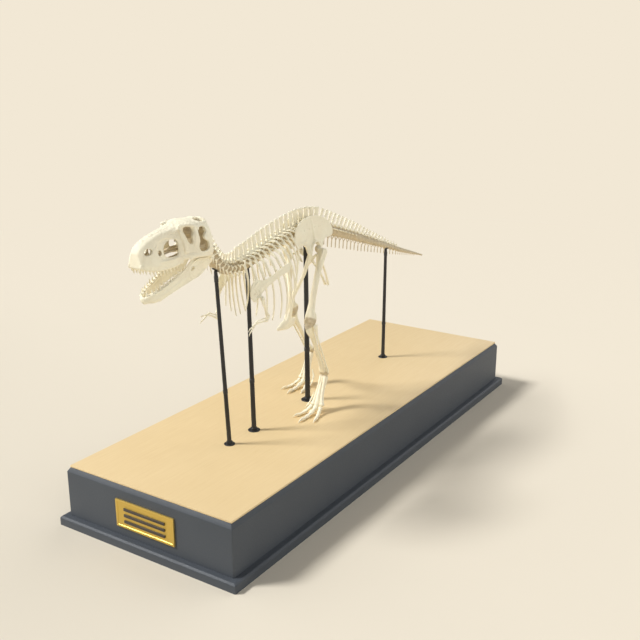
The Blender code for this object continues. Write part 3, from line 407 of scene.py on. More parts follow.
boardLook = {"light": (0.795, 0.61, 0.338, 1), "dark": (0.72, 0.533, 0.275, 1)}
# the stain share of each look also sets how dark the painted shade in the hollows is
boneLook = {
    "Pale": (0.97, 0.925, 0.73, 1), "Warm": (0.955, 0.88, 0.675, 1), "Stain": (0.58, 0.45, 0.28, 1),
    "Tan": (0.60, 0.505, 0.335, 1), "Shade And Stain Share": 0.25, "Crack Share": 0.5,
}
toothLook = {
    "Pale": (0.96, 0.92, 0.74, 1), "Warm": (0.91, 0.83, 0.60, 1), "Stain": (0.55, 0.42, 0.24, 1),
    "Tan": (0.56, 0.47, 0.31, 1), "Shade And Stain Share": 0.2, "Crack Share": 0.3,
}
agedBone, wornPaint = makeAgedBone(), makeWornPaint()
boneFinish = finishFrom("boneFinish", agedBone, boneLook, (0.45, 0.006))
toothFinish = finishFrom("toothFinish", agedBone, toothLook, (0.15, 0.002), coat=0.25)
# coat, rubbed edges, roughness from and to, grain, strength and height of the bump
slateFinish = paint("slateFinish", (0.055, 0.064, 0.076), (0.105, 0.12, 0.14), (0.50, 0.66), 45.0,
                    (0.06, 0.002))
steelFinish = paint("steelFinish", (0.018, 0.018, 0.020), (0.10, 0.10, 0.10), (0.30, 0.46), 140.0,
                    (0.12, 0.0015), 0.25)
brassFinish = paint("brassFinish", (0.74, 0.51, 0.115), (0.88, 0.68, 0.25), (0.32, 0.42), 12.0,
                    (0.02, 0.0005), 0.8)
enamelFinish = paint("enamelFinish", (0.045, 0.036, 0.028), (0.12, 0.09, 0.06), (0.35, 0.5), 90.0,
                     (0.05, 0.001))
boardFinish = makeBoardFinish()
print("finishes ready")


def boneFrom(bm, name, nodes, cell, relax=4, lumps=0.0, move=None, tan=None):
    # one fused bone, pressed by move(spot, normal) and tanned by tan(spot)
    bone = fuse(bm, name, cell, relax, lumps)
    if move:
        press(bone, move)
    if tan:
        tanned(bone, tan)
    ready(bone, boneFinish, nodes)


# the base

base = {
    "topLength": 11.5, "topWidth": 3.93, "topLevel": 1.24, "topThickness": 0.037,
    "bodyOverhang": 0.053, "bodyDrop": 0.083, "footOverhang": 0.198, "footHeight": 0.185,
    "footChamfer": 0.035, "edge": 0.008,
}
plaqueSize = {
    "width": 1.42, "height": 0.56, "thickness": 0.035, "centre": 0.66, "rim": 0.055, "sink": 0.010,
    "barWidth": 1.0, "barHeight": 0.055, "barRelief": 0.012, "barPitch": 0.125,
}


metalCrease = 35  # degrees past which an edge of board, metal or paint stays sharp


def slab(bm, size, centre):
    bmesh.ops.create_cube(bm, size=1, matrix=Matrix.LocRotScale(centre, None, size))


def roundEdges(bm, edges, width, segments=3):
    bmesh.ops.bevel(bm, geom=edges, offset=width, offset_type="OFFSET", segments=segments,
                    profile=0.5, affect="EDGES", material=-1)


def steppedBlock(name, size, low, rise, inward, upright):  # box with sloping shoulders
    bm = bmesh.new()
    slab(bm, size, (0, 0, low + size[2] / 2))
    corners = [e for e in bm.edges if abs(e.verts[0].co.z - e.verts[1].co.z) > 0.01]
    roundEdges(bm, corners, upright, 4)
    top = max(bm.faces, key=lambda face: face.calc_center_median().z)
    for vert in raisedFrom(bm, top):
        vert.co.x -= math.copysign(inward, vert.co.x)
        vert.co.y -= math.copysign(inward, vert.co.y)
        vert.co.z += rise
    bmesh.ops.delete(bm, geom=[top], context="FACES_ONLY")
    level = [e for e in bm.edges if abs(e.verts[0].co.z - e.verts[1].co.z) < 0.001
             and e.verts[0].co.z > low + 0.01]
    roundEdges(bm, level, base["edge"], 3)
    return placed(bm, name)


def buildBase():
    wide, long = base["topWidth"], base["topLength"]
    over = 2 * base["footOverhang"]
    rise = base["footHeight"] - base["footChamfer"]
    foot = steppedBlock("baseFoot", (wide + over, long + over, rise), 0, base["footChamfer"],
                        base["footChamfer"], 0.02)
    ready(foot, slateFinish, ["base_foot"], metalCrease)
    over = 2 * base["bodyOverhang"]
    low = base["footHeight"] + gap
    height = base["topLevel"] - base["topThickness"] - gap - base["bodyDrop"] - low
    body = steppedBlock("baseBody", (wide + over, long + over, height), low, base["bodyDrop"],
                        base["bodyOverhang"], 0.03)
    ready(body, slateFinish, ["base_body"], metalCrease)
    bm = bmesh.new()
    slab(bm, (wide, long, base["topThickness"]),
         (0, 0, base["topLevel"] - base["topThickness"] / 2))
    roundEdges(bm, list(bm.edges), 0.005, 3)
    ready(placed(bm, "baseBoard"), boardFinish, ["base_top"], metalCrease)


def buildPlaque():
    front = -(base["topLength"] / 2 + base["bodyOverhang"]) - gap
    size = plaqueSize
    bm = bmesh.new()
    middle = front - size["thickness"] / 2
    slab(bm, (size["width"], size["thickness"], size["height"]), (0, middle, size["centre"]))
    roundEdges(bm, list(bm.edges), 0.004, 2)
    face = min(bm.faces, key=lambda f: f.calc_center_median().y)
    bmesh.ops.inset_region(bm, faces=[face], thickness=size["rim"], depth=0.0)
    bmesh.ops.inset_region(bm, faces=[face], thickness=size["sink"], depth=-size["sink"])
    for sx, sz in ((-1, -1), (-1, 1), (1, -1), (1, 1)):  # a domed screw in each corner of the rim
        spot = Vector((sx * (size["width"] / 2 - 0.028), middle - size["thickness"] / 2 + 0.003,
                       size["centre"] + sz * (size["height"] / 2 - 0.028)))
        turn = Matrix.LocRotScale(spot, None, (0.011, 0.003, 0.011))
        bmesh.ops.create_uvsphere(bm, u_segments=14, v_segments=8, radius=1, matrix=turn)
    ready(placed(bm, "plaquePlate"), brassFinish, ["plaque"], metalCrease)
    # the bars stand on the sunk field and end where the solid ones do
    back = front - size["thickness"] + size["sink"]
    bm = bmesh.new()
    for k in (-1, 0, 1):
        deep = size["sink"] + gap + size["barRelief"]
        slab(bm, (size["barWidth"], deep, size["barHeight"]),
             (0, back - deep / 2, size["centre"] - 0.01 + k * size["barPitch"]))
    roundEdges(bm, list(bm.edges), 0.005, 3)
    ready(placed(bm, "plaqueBars"), enamelFinish,
          ["plaque_line_1", "plaque_line_2", "plaque_line_3"], metalCrease)


# the backbone's route and the regions along it

backboneRoute = [
    (-3.90, 5.52), (-3.68, 5.14), (-3.38, 4.90), (-2.98, 4.835), (-2.45, 4.89), (-1.70, 5.05),
    (-0.95, 5.16), (-0.45, 5.17), (0.10, 5.08), (1.20, 4.76), (2.40, 4.38), (3.80, 3.93),
    (5.10, 3.54),
]
# region: vertebrae, y of its end, rows of (share, radius, height of the spine's tip)
regions = {
    "neck": (10, -3.00, [(0, .085, .18), (.2, .105, .27), (.7, .11, .28), (1, .115, .36)]),
    "trunk": (13, -0.98, [(0, .115, .40), (.4, .12, .49), (1, .125, .51)]),
    "sacrum": (5, -0.08, [(0, .125, .51), (1, .12, .47)]),
    "tail_base": (11, 1.75, [(0, .12, .46), (1, .095, .30)]),
    "tail_middle": (12, 3.62, [(0, .095, .29), (1, .058, .10)]),
    "tail_tip": (13, 5.08, [(0, .058, .09), (1, .022, .03)]),
}
rods = {  # y of the foot, lean of the top towards the head, radius
    "neck": (-3.33, 0.22, 0.045), "shoulder": (-2.51, 0.05, 0.051),
    "hip": (-0.49, 0.0, 0.060), "tail": (3.01, 0.0, 0.046),
}
rodLook = {"flangeRatio": 2.5, "flange": 0.022, "bolts": 6, "cradleReach": 0.075}

routePoints = throughPoints([Vector((0, y, z)) for y, z in backboneRoute], 40)
routeLengths = [0.0]
for a, b in zip(routePoints, routePoints[1:]):
    routeLengths.append(routeLengths[-1] + (b - a).length)


def alongSpine(distance):  # place, direction to the tail, and up
    k = 1
    while k < len(routePoints) - 1 and routeLengths[k] < distance:
        k += 1
    a, b = routePoints[k - 1], routePoints[k]
    share = (distance - routeLengths[k - 1]) / (routeLengths[k] - routeLengths[k - 1])
    along = (b - a).normalized()
    return a.lerp(b, share), along, xAxis.cross(along)


def spineDistance(y):
    k = next(k for k, point in enumerate(routePoints) if point.y >= y)
    a, b = routePoints[k - 1], routePoints[k]
    return routeLengths[k - 1] + (b - a).length * (y - a.y) / (b.y - a.y)


def regionSpan(name):  # start, end and pitch of a region along the backbone
    names = list(regions)
    first = names.index(name)
    start = spineDistance(regions[names[first - 1]][1]) if first else 0.0
    count, endY, _ = regions[name]
    end = spineDistance(endY)
    return start + gap, end - gap, (end - start - 2 * gap) / count


class Vertebra:  # where one vertebra stands and how large it is
    def __init__(self, region, k):
        start, _, self.pitch = regionSpan(region)
        self.k, self.count = k, regions[region][0]
        self.share = k / (self.count - 1)
        self.radius, self.spine = readRow(regions[region][2], (k + 0.5) / self.count)
        self.centre, self.along, self.up = alongSpine(start + (k + 0.40) * self.pitch)

    def at(self, across, lift, back=0.0):
        return self.centre + xAxis * across + self.up * lift + self.along * back


def seatUnder(y):  # the underside of the vertebra above y, and its slope
    distance = spineDistance(y)
    for region, (count, _, sizes) in regions.items():
        start, end, pitch = regionSpan(region)
        if start <= distance <= end:
            k = int((distance - start) / pitch)
            radius = readRow(sizes, (k + 0.5) / count)[0] * math.cos(math.pi / 8)
            ends = []
            for share, size in ((0.0, radius), (0.8, radius * 0.84)):
                point, _, up = alongSpine(start + (k + share) * pitch)
                ends.append(point - up * size)
            return (ends[0] + ends[1]) / 2, (ends[1] - ends[0]).normalized()


# supports

def buildRod(name):
    footY, lean, radius = rods[name]
    seat, slope = seatUnder(footY - lean)
    foot = Vector((0, footY, base["topLevel"] + gap))
    bm = bmesh.new()
    # floor flange: a turned profile, spun round
    wide = radius * rodLook["flangeRatio"]
    tall = rodLook["flange"]
    profile = [(0.0, 0.0), (wide, 0.0), (wide, tall * 0.45), (wide - 0.004, tall * 0.7),
               (wide * 0.62, tall * 0.8), (radius * 1.42, tall), (radius * 1.42, tall * 2.6),
               (radius * 1.3, tall * 2.95), (radius * 0.6, tall * 2.95), (0.0, tall * 2.95)]
    verts = [bm.verts.new(foot + Vector((x, 0, z))) for x, z in profile]
    edges = [bm.edges.new(pair) for pair in zip(verts, verts[1:])]
    bmesh.ops.spin(bm, geom=verts + edges, cent=foot, axis=zAxis, dvec=(0, 0, 0),
                   angle=2 * math.pi, steps=40, use_merge=True)
    bmesh.ops.remove_doubles(bm, verts=bm.verts, dist=0.0001)
    for k in range(rodLook["bolts"]):
        angle = 2 * math.pi * (k + 0.5) / rodLook["bolts"]
        spot = foot + Vector((math.cos(angle), math.sin(angle), 0)) * (wide * 0.80)
        bmesh.ops.create_cone(bm, cap_ends=True, segments=6, radius1=0.0085, radius2=0.0085,
                              depth=0.009, matrix=Matrix.Translation(spot + zAxis * tall))
    ready(placed(bm, f"flange{name.title()}"), steelFinish, [f"flange_{name}"], metalCrease)
    # the rod, its joint sleeves, and the cradle that takes the vertebra
    bm = bmesh.new()
    start = foot + zAxis * (tall * 1.2)
    end = seat - zAxis * 0.004
    run = (end - start).normalized()
    side = (xAxis - run * run.x).normalized()
    front = run.cross(side)
    length = (end - start).length
    stops = [(0.0, 1.0), (0.30, 0.94), (0.302, 1.07), (0.322, 1.07), (0.324, 0.935),
             (0.93, 0.815), (0.932, 0.94), (0.965, 0.94), (0.967, 0.81), (0.992, 0.72)]
    sweep(bm, [(start + run * (length * t), side * radius * s, front * radius * s)
               for t, s in stops], 24)
    under = Vector((0, slope.y, slope.z)) * rodLook["cradleReach"]
    saddle = [seat + under * t - zAxis * drop for t, drop in ((-1, .012), (-.5, .015), (.5, .015), (1, .012))]
    limb(bm, saddle, [(0.040, 0.006), (0.046, 0.009), (0.046, 0.009), (0.040, 0.006)], sides=14)
    ready(placed(bm, f"rod{name.title()}"), steelFinish, [f"rod_{name}"], metalCrease)


# floor, light and camera

studio = {
    "lens": 50.27, "eye": (10.534, -16.209, 8.898), "turn": 32.98, "tilt": 16.95, "floorHalf": 400,
    "floor": (0.768, 0.698, 0.575, 1), "floorShadedNear": (0.690, 0.632, 0.522, 1),
    "backdrop": (0.888, 0.806, 0.665, 1), "blend": (12.0, 30.0), "ambient": 0.055,
    "key": {"from": (-0.552, -0.473, 0.766), "power": 2.86, "spread": 13.0},
    "fill": {"from": (0.86, -0.42, 0.24), "power": 1.08, "spread": 60.0},
    "rim": {"from": (0.30, 0.84, 0.42), "power": 1.46, "spread": 80.0},
    "side": {"from": (-0.85, -0.12, 0.46), "power": 1.02, "spread": 60.0},
}


def buildStudio():
    bm = bmesh.new()
    bmesh.ops.create_grid(bm, x_segments=1, y_segments=1, size=studio["floorHalf"])
    floor = placed(bm, "studioFloor")
    made, tree, shader = newFinish("floorFinish")
    # painted shade: a little darker towards the front, and the backdrop's own colour far off
    place, black = tree.add("TexCoord", {}, "Object"), (0, 0, 0, 1)
    facing = tree.add("VectorMath", {0: place, 1: (-0.35, -0.94, 0)}, "Value", operation="DOT_PRODUCT")
    far = tree.add("VectorMath", {0: place}, "Value", operation="LENGTH")
    shade = tree.mixColour(tree.rangeOf(facing, 1.0, 13.0), studio["floor"], studio["floorShadedNear"])
    lost = tree.rangeOf(far, *studio["blend"])
    tree.feed(shader, {
        "Roughness": 1.0, "Specular IOR Level": 0.0, "Base Color": tree.mixColour(lost, shade, black),
        "Emission Color": tree.mixColour(lost, black, studio["backdrop"]), "Emission Strength": 1.0})
    floor.data.materials.append(made)
    # seen directly the backdrop is the floor's colour; as light it is softer and near white
    world = bpy.data.worlds.new("studioSky")
    world.use_nodes = True
    sky = Shading(world.node_tree)
    light = sky.nodes["Background"]
    sky.feed(light, {"Color": (1, 1, 1, 1), "Strength": studio["ambient"]})
    seen = sky.add("Background", {"Color": studio["backdrop"]})
    direct = sky.add("LightPath", {}, "Is Camera Ray")
    chosen = sky.add("MixShader", {"Fac": direct, 1: light.outputs[0], 2: seen})
    sky.feed(sky.nodes["World Output"], {"Surface": chosen})
    bpy.context.scene.world = world
    bpy.context.scene.view_settings.view_transform = "Standard"
    for name in ("key", "fill", "rim", "side"):
        given = studio[name]
        light = bpy.data.lights.new(name, "SUN")
        light.energy = given["power"]
        light.angle = math.radians(given["spread"])
        lamp = bpy.data.objects.new(name, light)
        lamp.rotation_euler = Vector(given["from"]).to_track_quat("Z", "Y").to_euler()
        bpy.context.scene.collection.objects.link(lamp)
    lens = bpy.data.cameras.new("frontLeft")
    lens.sensor_width = 36
    lens.lens = studio["lens"]
    lens.clip_end = 200
    camera = bpy.data.objects.new("frontLeft", lens)
    turn, tilt = math.radians(studio["turn"]), math.radians(studio["tilt"])
    back = Vector((math.sin(turn) * math.cos(tilt), -math.cos(turn) * math.cos(tilt), math.sin(tilt)))
    right = Vector((math.cos(turn), math.sin(turn), 0))
    pose = Matrix((right, back.cross(right), back)).transposed().to_4x4()
    pose.translation = studio["eye"]
    camera.matrix_world = pose
    bpy.context.scene.collection.objects.link(camera)
    bpy.context.scene.camera = camera


buildStudio()
buildBase()
buildPlaque()
for each in rods:
    buildRod(each)
print("base, plaque and rods ready")


# vertebrae

spineLook = {
    "neck": {"halfPlate": 0.024, "plateTop": 0.20, "lean": 0.0, "cell": 0.0075},
    "trunk": {"halfPlate": 0.020, "plateTop": 0.35, "lean": 0.02, "cell": 0.0080},
    "sacrum": {"halfPlate": 0.022, "plateTop": 0.44, "lean": 0.01, "cell": 0.0085},
    "tail_base": {"halfPlate": 0.017, "plateTop": 0.27, "lean": 0.30, "cell": 0.0080},
    "tail_middle": {"halfPlate": 0.014, "plateTop": 0.27, "lean": 0.32, "cell": 0.0070},
    "tail_tip": {"halfPlate": 0.010, "plateTop": 0.25, "lean": 0.30, "cell": 0.0052},
}


def buildCentrum(bm, v, waist=0.74, joint=0.66, sides=18):  # a spool with rims, then its disc
    r, p = v.radius, v.pitch
    stops = [(-0.45, joint), (-0.42, 0.90), (-0.38, 1.0), (-0.31, 1.0), (-0.19, mixed(waist, 1, .38)),
             (0.02, waist), (0.22, mixed(waist, .95, .38)), (0.35, 0.97), (0.43, 0.97), (0.47, 0.88),
             (0.50, joint), (0.56, joint)]
    sweep(bm, [(v.at(0, 0, t * p), xAxis * (r * s * 0.97), v.up * (r * s)) for t, s in stops], sides)


def buildArch(bm, v, width, height, halfLong):
    r, p = v.radius, v.pitch
    bars(bm, v.at,
        [(0, 0.55 * r, -0.02 * p, width, halfLong), (0, 1.05 * r, 0, width * 0.92, halfLong * 0.9),
         (0, height, 0.02 * p, width * 0.55, halfLong * 0.95)], sides=12)


def buildPlate(bm, v, look, low):  # the neural spine with its rugged top
    p = v.pitch
    half, top = look["halfPlate"], look["plateTop"] * v.pitch
    lean = look["lean"] * p
    rise = v.spine - low
    wobble = 0.004 * math.sin(v.k * 2.3)
    path = [v.at(0, low, 0), v.at(wobble, low + 0.35 * rise, 0.25 * lean),
            v.at(wobble, low + 0.72 * rise, 0.65 * lean), v.at(0, v.spine - 0.012, lean)]
    limb(bm, path, [(half * 1.25, top * 1.10), (half * 0.85, top * 0.88), (half, top * 0.92),
                    (half * 1.35, top)], sides=14, blunt=0.5)
    if rise > 0.10:  # scars for the ligaments run down the front and back edges
        for sign in (-1, 1):
            bars(bm, v.at,
                [(0, low + 0.15 * rise, sign * top * 0.85, half * 0.7, 0.010),
                 (wobble, low + 0.6 * rise, 0.5 * lean + sign * top * 0.80, half * 0.8, 0.012),
                 (0, v.spine - 0.02, lean + sign * top * 0.85, half * 1.2, 0.012)], sides=8)


def buildFacets(bm, v, height, spread):  # the overlapping joint facets before and behind
    r, p = v.radius, v.pitch
    for sign in (-1, 1):
        bars(bm, v.at,
            [(0.25 * r, height * 0.92, -0.15 * p, 0.14 * r, 0.10 * r),
             (spread, height * 0.93, -0.40 * p, 0.17 * r, 0.09 * r),
             (spread * 1.08, height * 0.98, -0.60 * p, 0.17 * r, 0.06 * r)], sides=8, sign=sign)
        bars(bm, v.at,
            [(0.12 * r, height * 1.08, 0.15 * p, 0.12 * r, 0.12 * r),
             (spread * 0.85, height * 1.13, 0.42 * p, 0.16 * r, 0.10 * r),
             (spread * 0.95, height * 1.12, 0.60 * p, 0.16 * r, 0.06 * r)], sides=8, sign=sign)


def regionOf(region):
    return [Vertebra(region, k) for k in range(regions[region][0])]


def finishSpine(bm, region, name, nodes, relax=3):
    bodies = regionOf(region)

    def tanAt(spot):  # the bodies and the foot of the arches
        v = min(bodies, key=lambda body: abs((spot - body.centre).dot(body.along)))
        arm = spot - v.centre
        lift, across = arm.dot(v.up) / v.radius, abs(arm.x) / v.radius
        wander = 0.10 * noise.noise(spot * 14)
        return (1 - easeIn(0.85, 1.10, lift + wander)) * (1 - easeIn(1.20, 1.42, across + wander))

    boneFrom(bm, name, nodes, spineLook[region]["cell"], relax, 0.0018, tan=tanAt)


def buildNeckBones():
    bm = bmesh.new()
    for v in regionOf("neck"):
        r, p = v.radius, v.pitch
        buildCentrum(bm, v, 0.78)
        buildArch(bm, v, 0.50 * r, 1.42 * r, 0.34 * p)
        buildPlate(bm, v, spineLook["neck"], 1.25 * r)
        buildFacets(bm, v, 1.15 * r, 0.62 * r)
        if v.k == 0:
            continue
        for sign in (-1, 1):
            # short side process, and the knob above the rear facet
            bars(bm, v.at,
                [(0.45 * r, 0.75 * r, -0.05 * p, 0.26 * p, 0.026), (1.2 * r, 0.66 * r, 0, 0.20 * p, 0.019),
                 (1.72 * r, 0.42 * r, 0.05 * p, 0.16 * p, 0.017)], v.along, sign=sign)
            blob(bm, v.at(sign * 0.55 * r, 1.42 * r, 0.36 * p), (0.20 * r, 0.20 * r, 0.13 * r))
            # neck rib: two heads, then a spike that trails back under the next vertebra
            root = v.at(sign * 1.35 * r, -0.35 * r, 0.05 * p)
            limb(bm, [v.at(sign * 1.70 * r, 0.42 * r, 0.05 * p), v.at(sign * 1.62 * r, 0, 0.02 * p), root],
                 [(0.12 * p, 0.013), (0.10 * p, 0.012), (0.13 * p, 0.014)], v.along)
            limb(bm, [v.at(sign * 0.85 * r, -0.45 * r, -0.20 * p), root],
                 [(0.016, 0.018), (0.016, 0.018)], sides=8)
            tail = 0.9 + 0.5 * v.share
            limb(bm, [v.at(sign * 1.42 * r, -0.50 * r, -0.28 * p), root,
                      v.at(sign * 1.48 * r, -0.85 * r, 0.45 * tail * p),
                      v.at(sign * 1.40 * r, -1.35 * r, 1.0 * tail * p)],
                 [(0.010, 0.014), (0.013, 0.022), (0.009, 0.015), (0.005, 0.007)], sides=8)
    finishSpine(bm, "neck", "neckBones", ["neck"])


cage = {
    "pairs": 11, "heads": 0.95, "rows": [(0, .28, .80), (.2, .43, 1.18), (.45, .54, 1.28),
                                         (.75, .53, 1.08), (1, .38, .60)],
    # along a rib: share, half width, half thickness
    "blade": [(0, .024, .018), (.12, .036, .021), (.3, .033, .017), (.6, .026, .014),
              (.9, .024, .012), (1, .018, .010)],
    "cell": 0.0078,
}


def ribPoint(v, share, t, sign):  # 0 at the rib's head, 1 at its tip
    halfWidth, drop = readRow(cage["rows"], share)
    head = cage["heads"] * v.radius
    swing = math.radians(18 + 112 * t)
    across = head + (halfWidth - head) * math.sin(swing) ** 0.8
    return v.at(sign * across, 0.10 - (drop + 0.10) * t ** 1.15, -0.02 + 0.10 * t - 0.16 * t * t)


def processReach(v):
    return min(1.65, 1.05 + 0.35 * (v.count - 1 - v.k)) * v.radius


def buildTrunkBones():
    bm = bmesh.new()
    for v in regionOf("trunk"):
        r, p = v.radius, v.pitch
        buildCentrum(bm, v)
        buildArch(bm, v, 0.46 * r, 1.55 * r, 0.36 * p)
        buildPlate(bm, v, spineLook["trunk"], 1.35 * r)
        buildFacets(bm, v, 1.32 * r, 0.36 * r)
        reach = processReach(v)
        for sign in (-1, 1):
            tip = v.at(sign * reach, 1.04 * r, 0.02)
            limb(bm, [v.at(sign * 0.30 * r, 1.22 * r, 0), v.at(sign * 0.65 * reach, 1.26 * r, 0.01), tip],
                 [(0.30 * p, 0.024), (0.21 * p, 0.018), (0.19 * p, 0.021)], v.along)
            blob(bm, tip, (0.022, 0.17 * p, 0.024))
            # struts under the process, with hollows left between them
            for back in (-0.24, 0.24):
                bars(bm, v.at, [(0.70 * reach, 1.18 * r, 0.12 * back * p, 0.011, 0.018),
                                (0.80 * r, 0.78 * r, back * p, 0.010, 0.018),
                                (0.70 * r, 0.35 * r, 1.2 * back * p, 0.010, 0.020)], v.along, 8, sign)
            if v.k < cage["pairs"]:  # the facet that takes the rib's lower head
                blob(bm, v.at(sign * 0.86 * r, 0.34 * r, -0.28 * p), (0.028, 0.026, 0.034))
            # a shallow pit in the side of the centrum is left by this rim
            limb(bm, [v.at(sign * 0.80 * r, 0.20 * r, -0.16 * p), v.at(sign * 0.84 * r, 0.30 * r, 0.05 * p),
                      v.at(sign * 0.80 * r, 0.20 * r, 0.26 * p)],
                 [(0.010, 0.012)] * 3, v.along, 8)
    finishSpine(bm, "trunk", "trunkBones", ["rib_cage_left", "rib_cage_right"])


def buildRibs(side):
    sign = handed[side]
    bm = bmesh.new()
    for v in regionOf("trunk")[:cage["pairs"]]:
        r, p = v.radius, v.pitch
        share = v.k / (cage["pairs"] - 1)
        stops = [0.10, 0.18, 0.28, 0.40, 0.52, 0.64, 0.76, 0.88, 1.0]
        path = [ribPoint(v, share, t, sign) for t in stops]
        sizes = [readRow(cage["blade"], t) for t in stops]
        neck = [v.at(sign * 0.95 * r, 0.36 * r, -0.27 * p), v.at(sign * 1.30 * r, 0.60 * r, -0.18 * p)]
        limb(bm, [*neck, *path], [(0.019, 0.019), (0.021, 0.015), *sizes], v.along, 12)
        knob = v.at(sign * (processReach(v) + 0.012), 0.98 * r, 0.012)
        limb(bm, [knob, mixed(knob, path[0], 0.5), path[0], path[1]],
             [(0.026, 0.021), (0.024, 0.017), (0.026, 0.017), (0.020, 0.012)], v.along, 10)
        # the ridge down the front of the shaft
        front = [ribPoint(v, share, t, sign) - v.along * (0.72 * readRow(cage["blade"], t)[0])
                 + xAxis * (sign * 0.008) for t in (0.12, 0.28, 0.45, 0.62)]
        limb(bm, front, [(0.010, 0.013), (0.012, 0.016), (0.010, 0.013), (0.006, 0.008)], v.along, 8)
    boneFrom(bm, f"{side}Ribs", [f"rib_cage_{side}"], cage["cell"], 3, 0.0012)


def buildSacrumBones():
    bm = bmesh.new()
    for v in regionOf("sacrum"):
        r, p = v.radius, v.pitch
        buildCentrum(bm, v, 0.86, 0.93)
        buildArch(bm, v, 0.48 * r, 1.65 * r, 0.44 * p)
        buildPlate(bm, v, spineLook["sacrum"], 1.4 * r)
        bars(bm, v.at, [(0, v.spine - 0.025, -0.5 * p, 0.021, 0.021),
                        (0, v.spine - 0.028, 0.5 * p, 0.021, 0.021)], sides=10)
        for sign in (-1, 1):  # sacral ribs brace the hip blades
            bars(bm, v.at, [(0.6 * r, 0.55 * r, 0, 0.24 * p, 0.050), (0.14, 0.06, 0.01, 0.20 * p, 0.040),
                            (0.198, 0.04, 0.02, 0.30 * p, 0.062)], v.along, 12, sign)
            bars(bm, v.at,
                [(0.3 * r, 1.35 * r, 0, 0.20 * p, 0.022), (0.10, 1.75 * r, 0.01, 0.17 * p, 0.018),
                 (0.122, 1.85 * r, 0.01, 0.24 * p, 0.030)], v.along, 10, sign)
    finishSpine(bm, "sacrum", "sacrumBones", ["sacrum"])


def buildTailBones(region, name, processes, drops, spines):
    look = spineLook[region]
    seatY = seatUnder(rods["tail"][0] - rods["tail"][1])[0].y
    bm = bmesh.new()
    for v in regionOf(region):
        r, p = v.radius, v.pitch
        buildCentrum(bm, v, 0.76, 0.68, 16)
        if v.k < spines:
            arched = region != "tail_middle"
            buildArch(bm, v, 0.42 * r, (1.5 if arched else 1.15) * r, 0.32 * p)
            buildPlate(bm, v, look, (1.3 if arched else 0.95) * r)
            buildFacets(bm, v, 1.22 * r, 0.34 * r)
        elif r > 0.03:
            bars(bm, v.at,
                [(0, 0.75 * r, -0.5 * p, 0.30 * r, 0.16 * r), (0, 1.02 * r, 0.1 * p, 0.28 * r, 0.20 * r),
                 (0, 1.12 * r, 0.62 * p, 0.14 * r, 0.12 * r)], sides=8)
        if v.k < processes:
            reach = r * (mixed(2.3, 1.3, v.k / processes) if v.k > 1 else 1.2)
            for sign in (-1, 1):
                bars(bm, v.at, [(0.55 * r, 0.42 * r, 0, 0.24 * p, 0.026),
                                (0.6 * reach, 0.34 * r, 0.015, 0.19 * p, 0.016),
                                (reach, 0.26 * r, 0.04, 0.22 * p, 0.014)], v.along, 12, sign)
        drop = readRow(drops, v.share)[0]
        if drop > 0.01 and abs(v.centre.y - seatY) > 0.5 * p:  # the Y-shaped bone below
            fork = v.at(0, -(r + 0.30 * drop), 0.42 * p)
            arm = max(0.006, 0.10 * r)
            for sign in (-1, 1):
                limb(bm, [v.at(sign * 0.42 * r, -0.86 * r, 0.46 * p), fork],
                     [(arm * 1.2, arm * 1.5), (arm, arm * 1.3)], sides=8)
            limb(bm, [fork, v.at(0, -(r + 0.65 * drop), 0.50 * p), v.at(0, -(r + drop), 0.62 * p)],
                 [(arm, 0.10 * p), (arm * 0.85, 0.15 * p), (arm * 0.75, 0.13 * p)], sides=12)
    finishSpine(bm, region, name, [region], 2)


buildNeckBones()
buildTrunkBones()
for each in handed:
    buildRibs(each)
buildSacrumBones()
buildTailBones("tail_base", "tailBaseBones", 9, [(0, 0), (.12, .26), (1, .21)], 11)
buildTailBones("tail_middle", "tailMiddleBones", 0, [(0, .20), (1, .09)], 12)
buildTailBones("tail_tip", "tailTipBones", 0, [(0, .08), (.7, .02), (.75, 0), (1, 0)], 0)
print("backbone and ribs ready")


# skull and lower jaw, in their own frames: across, forward of the jaw joint, up, in lengths of the head

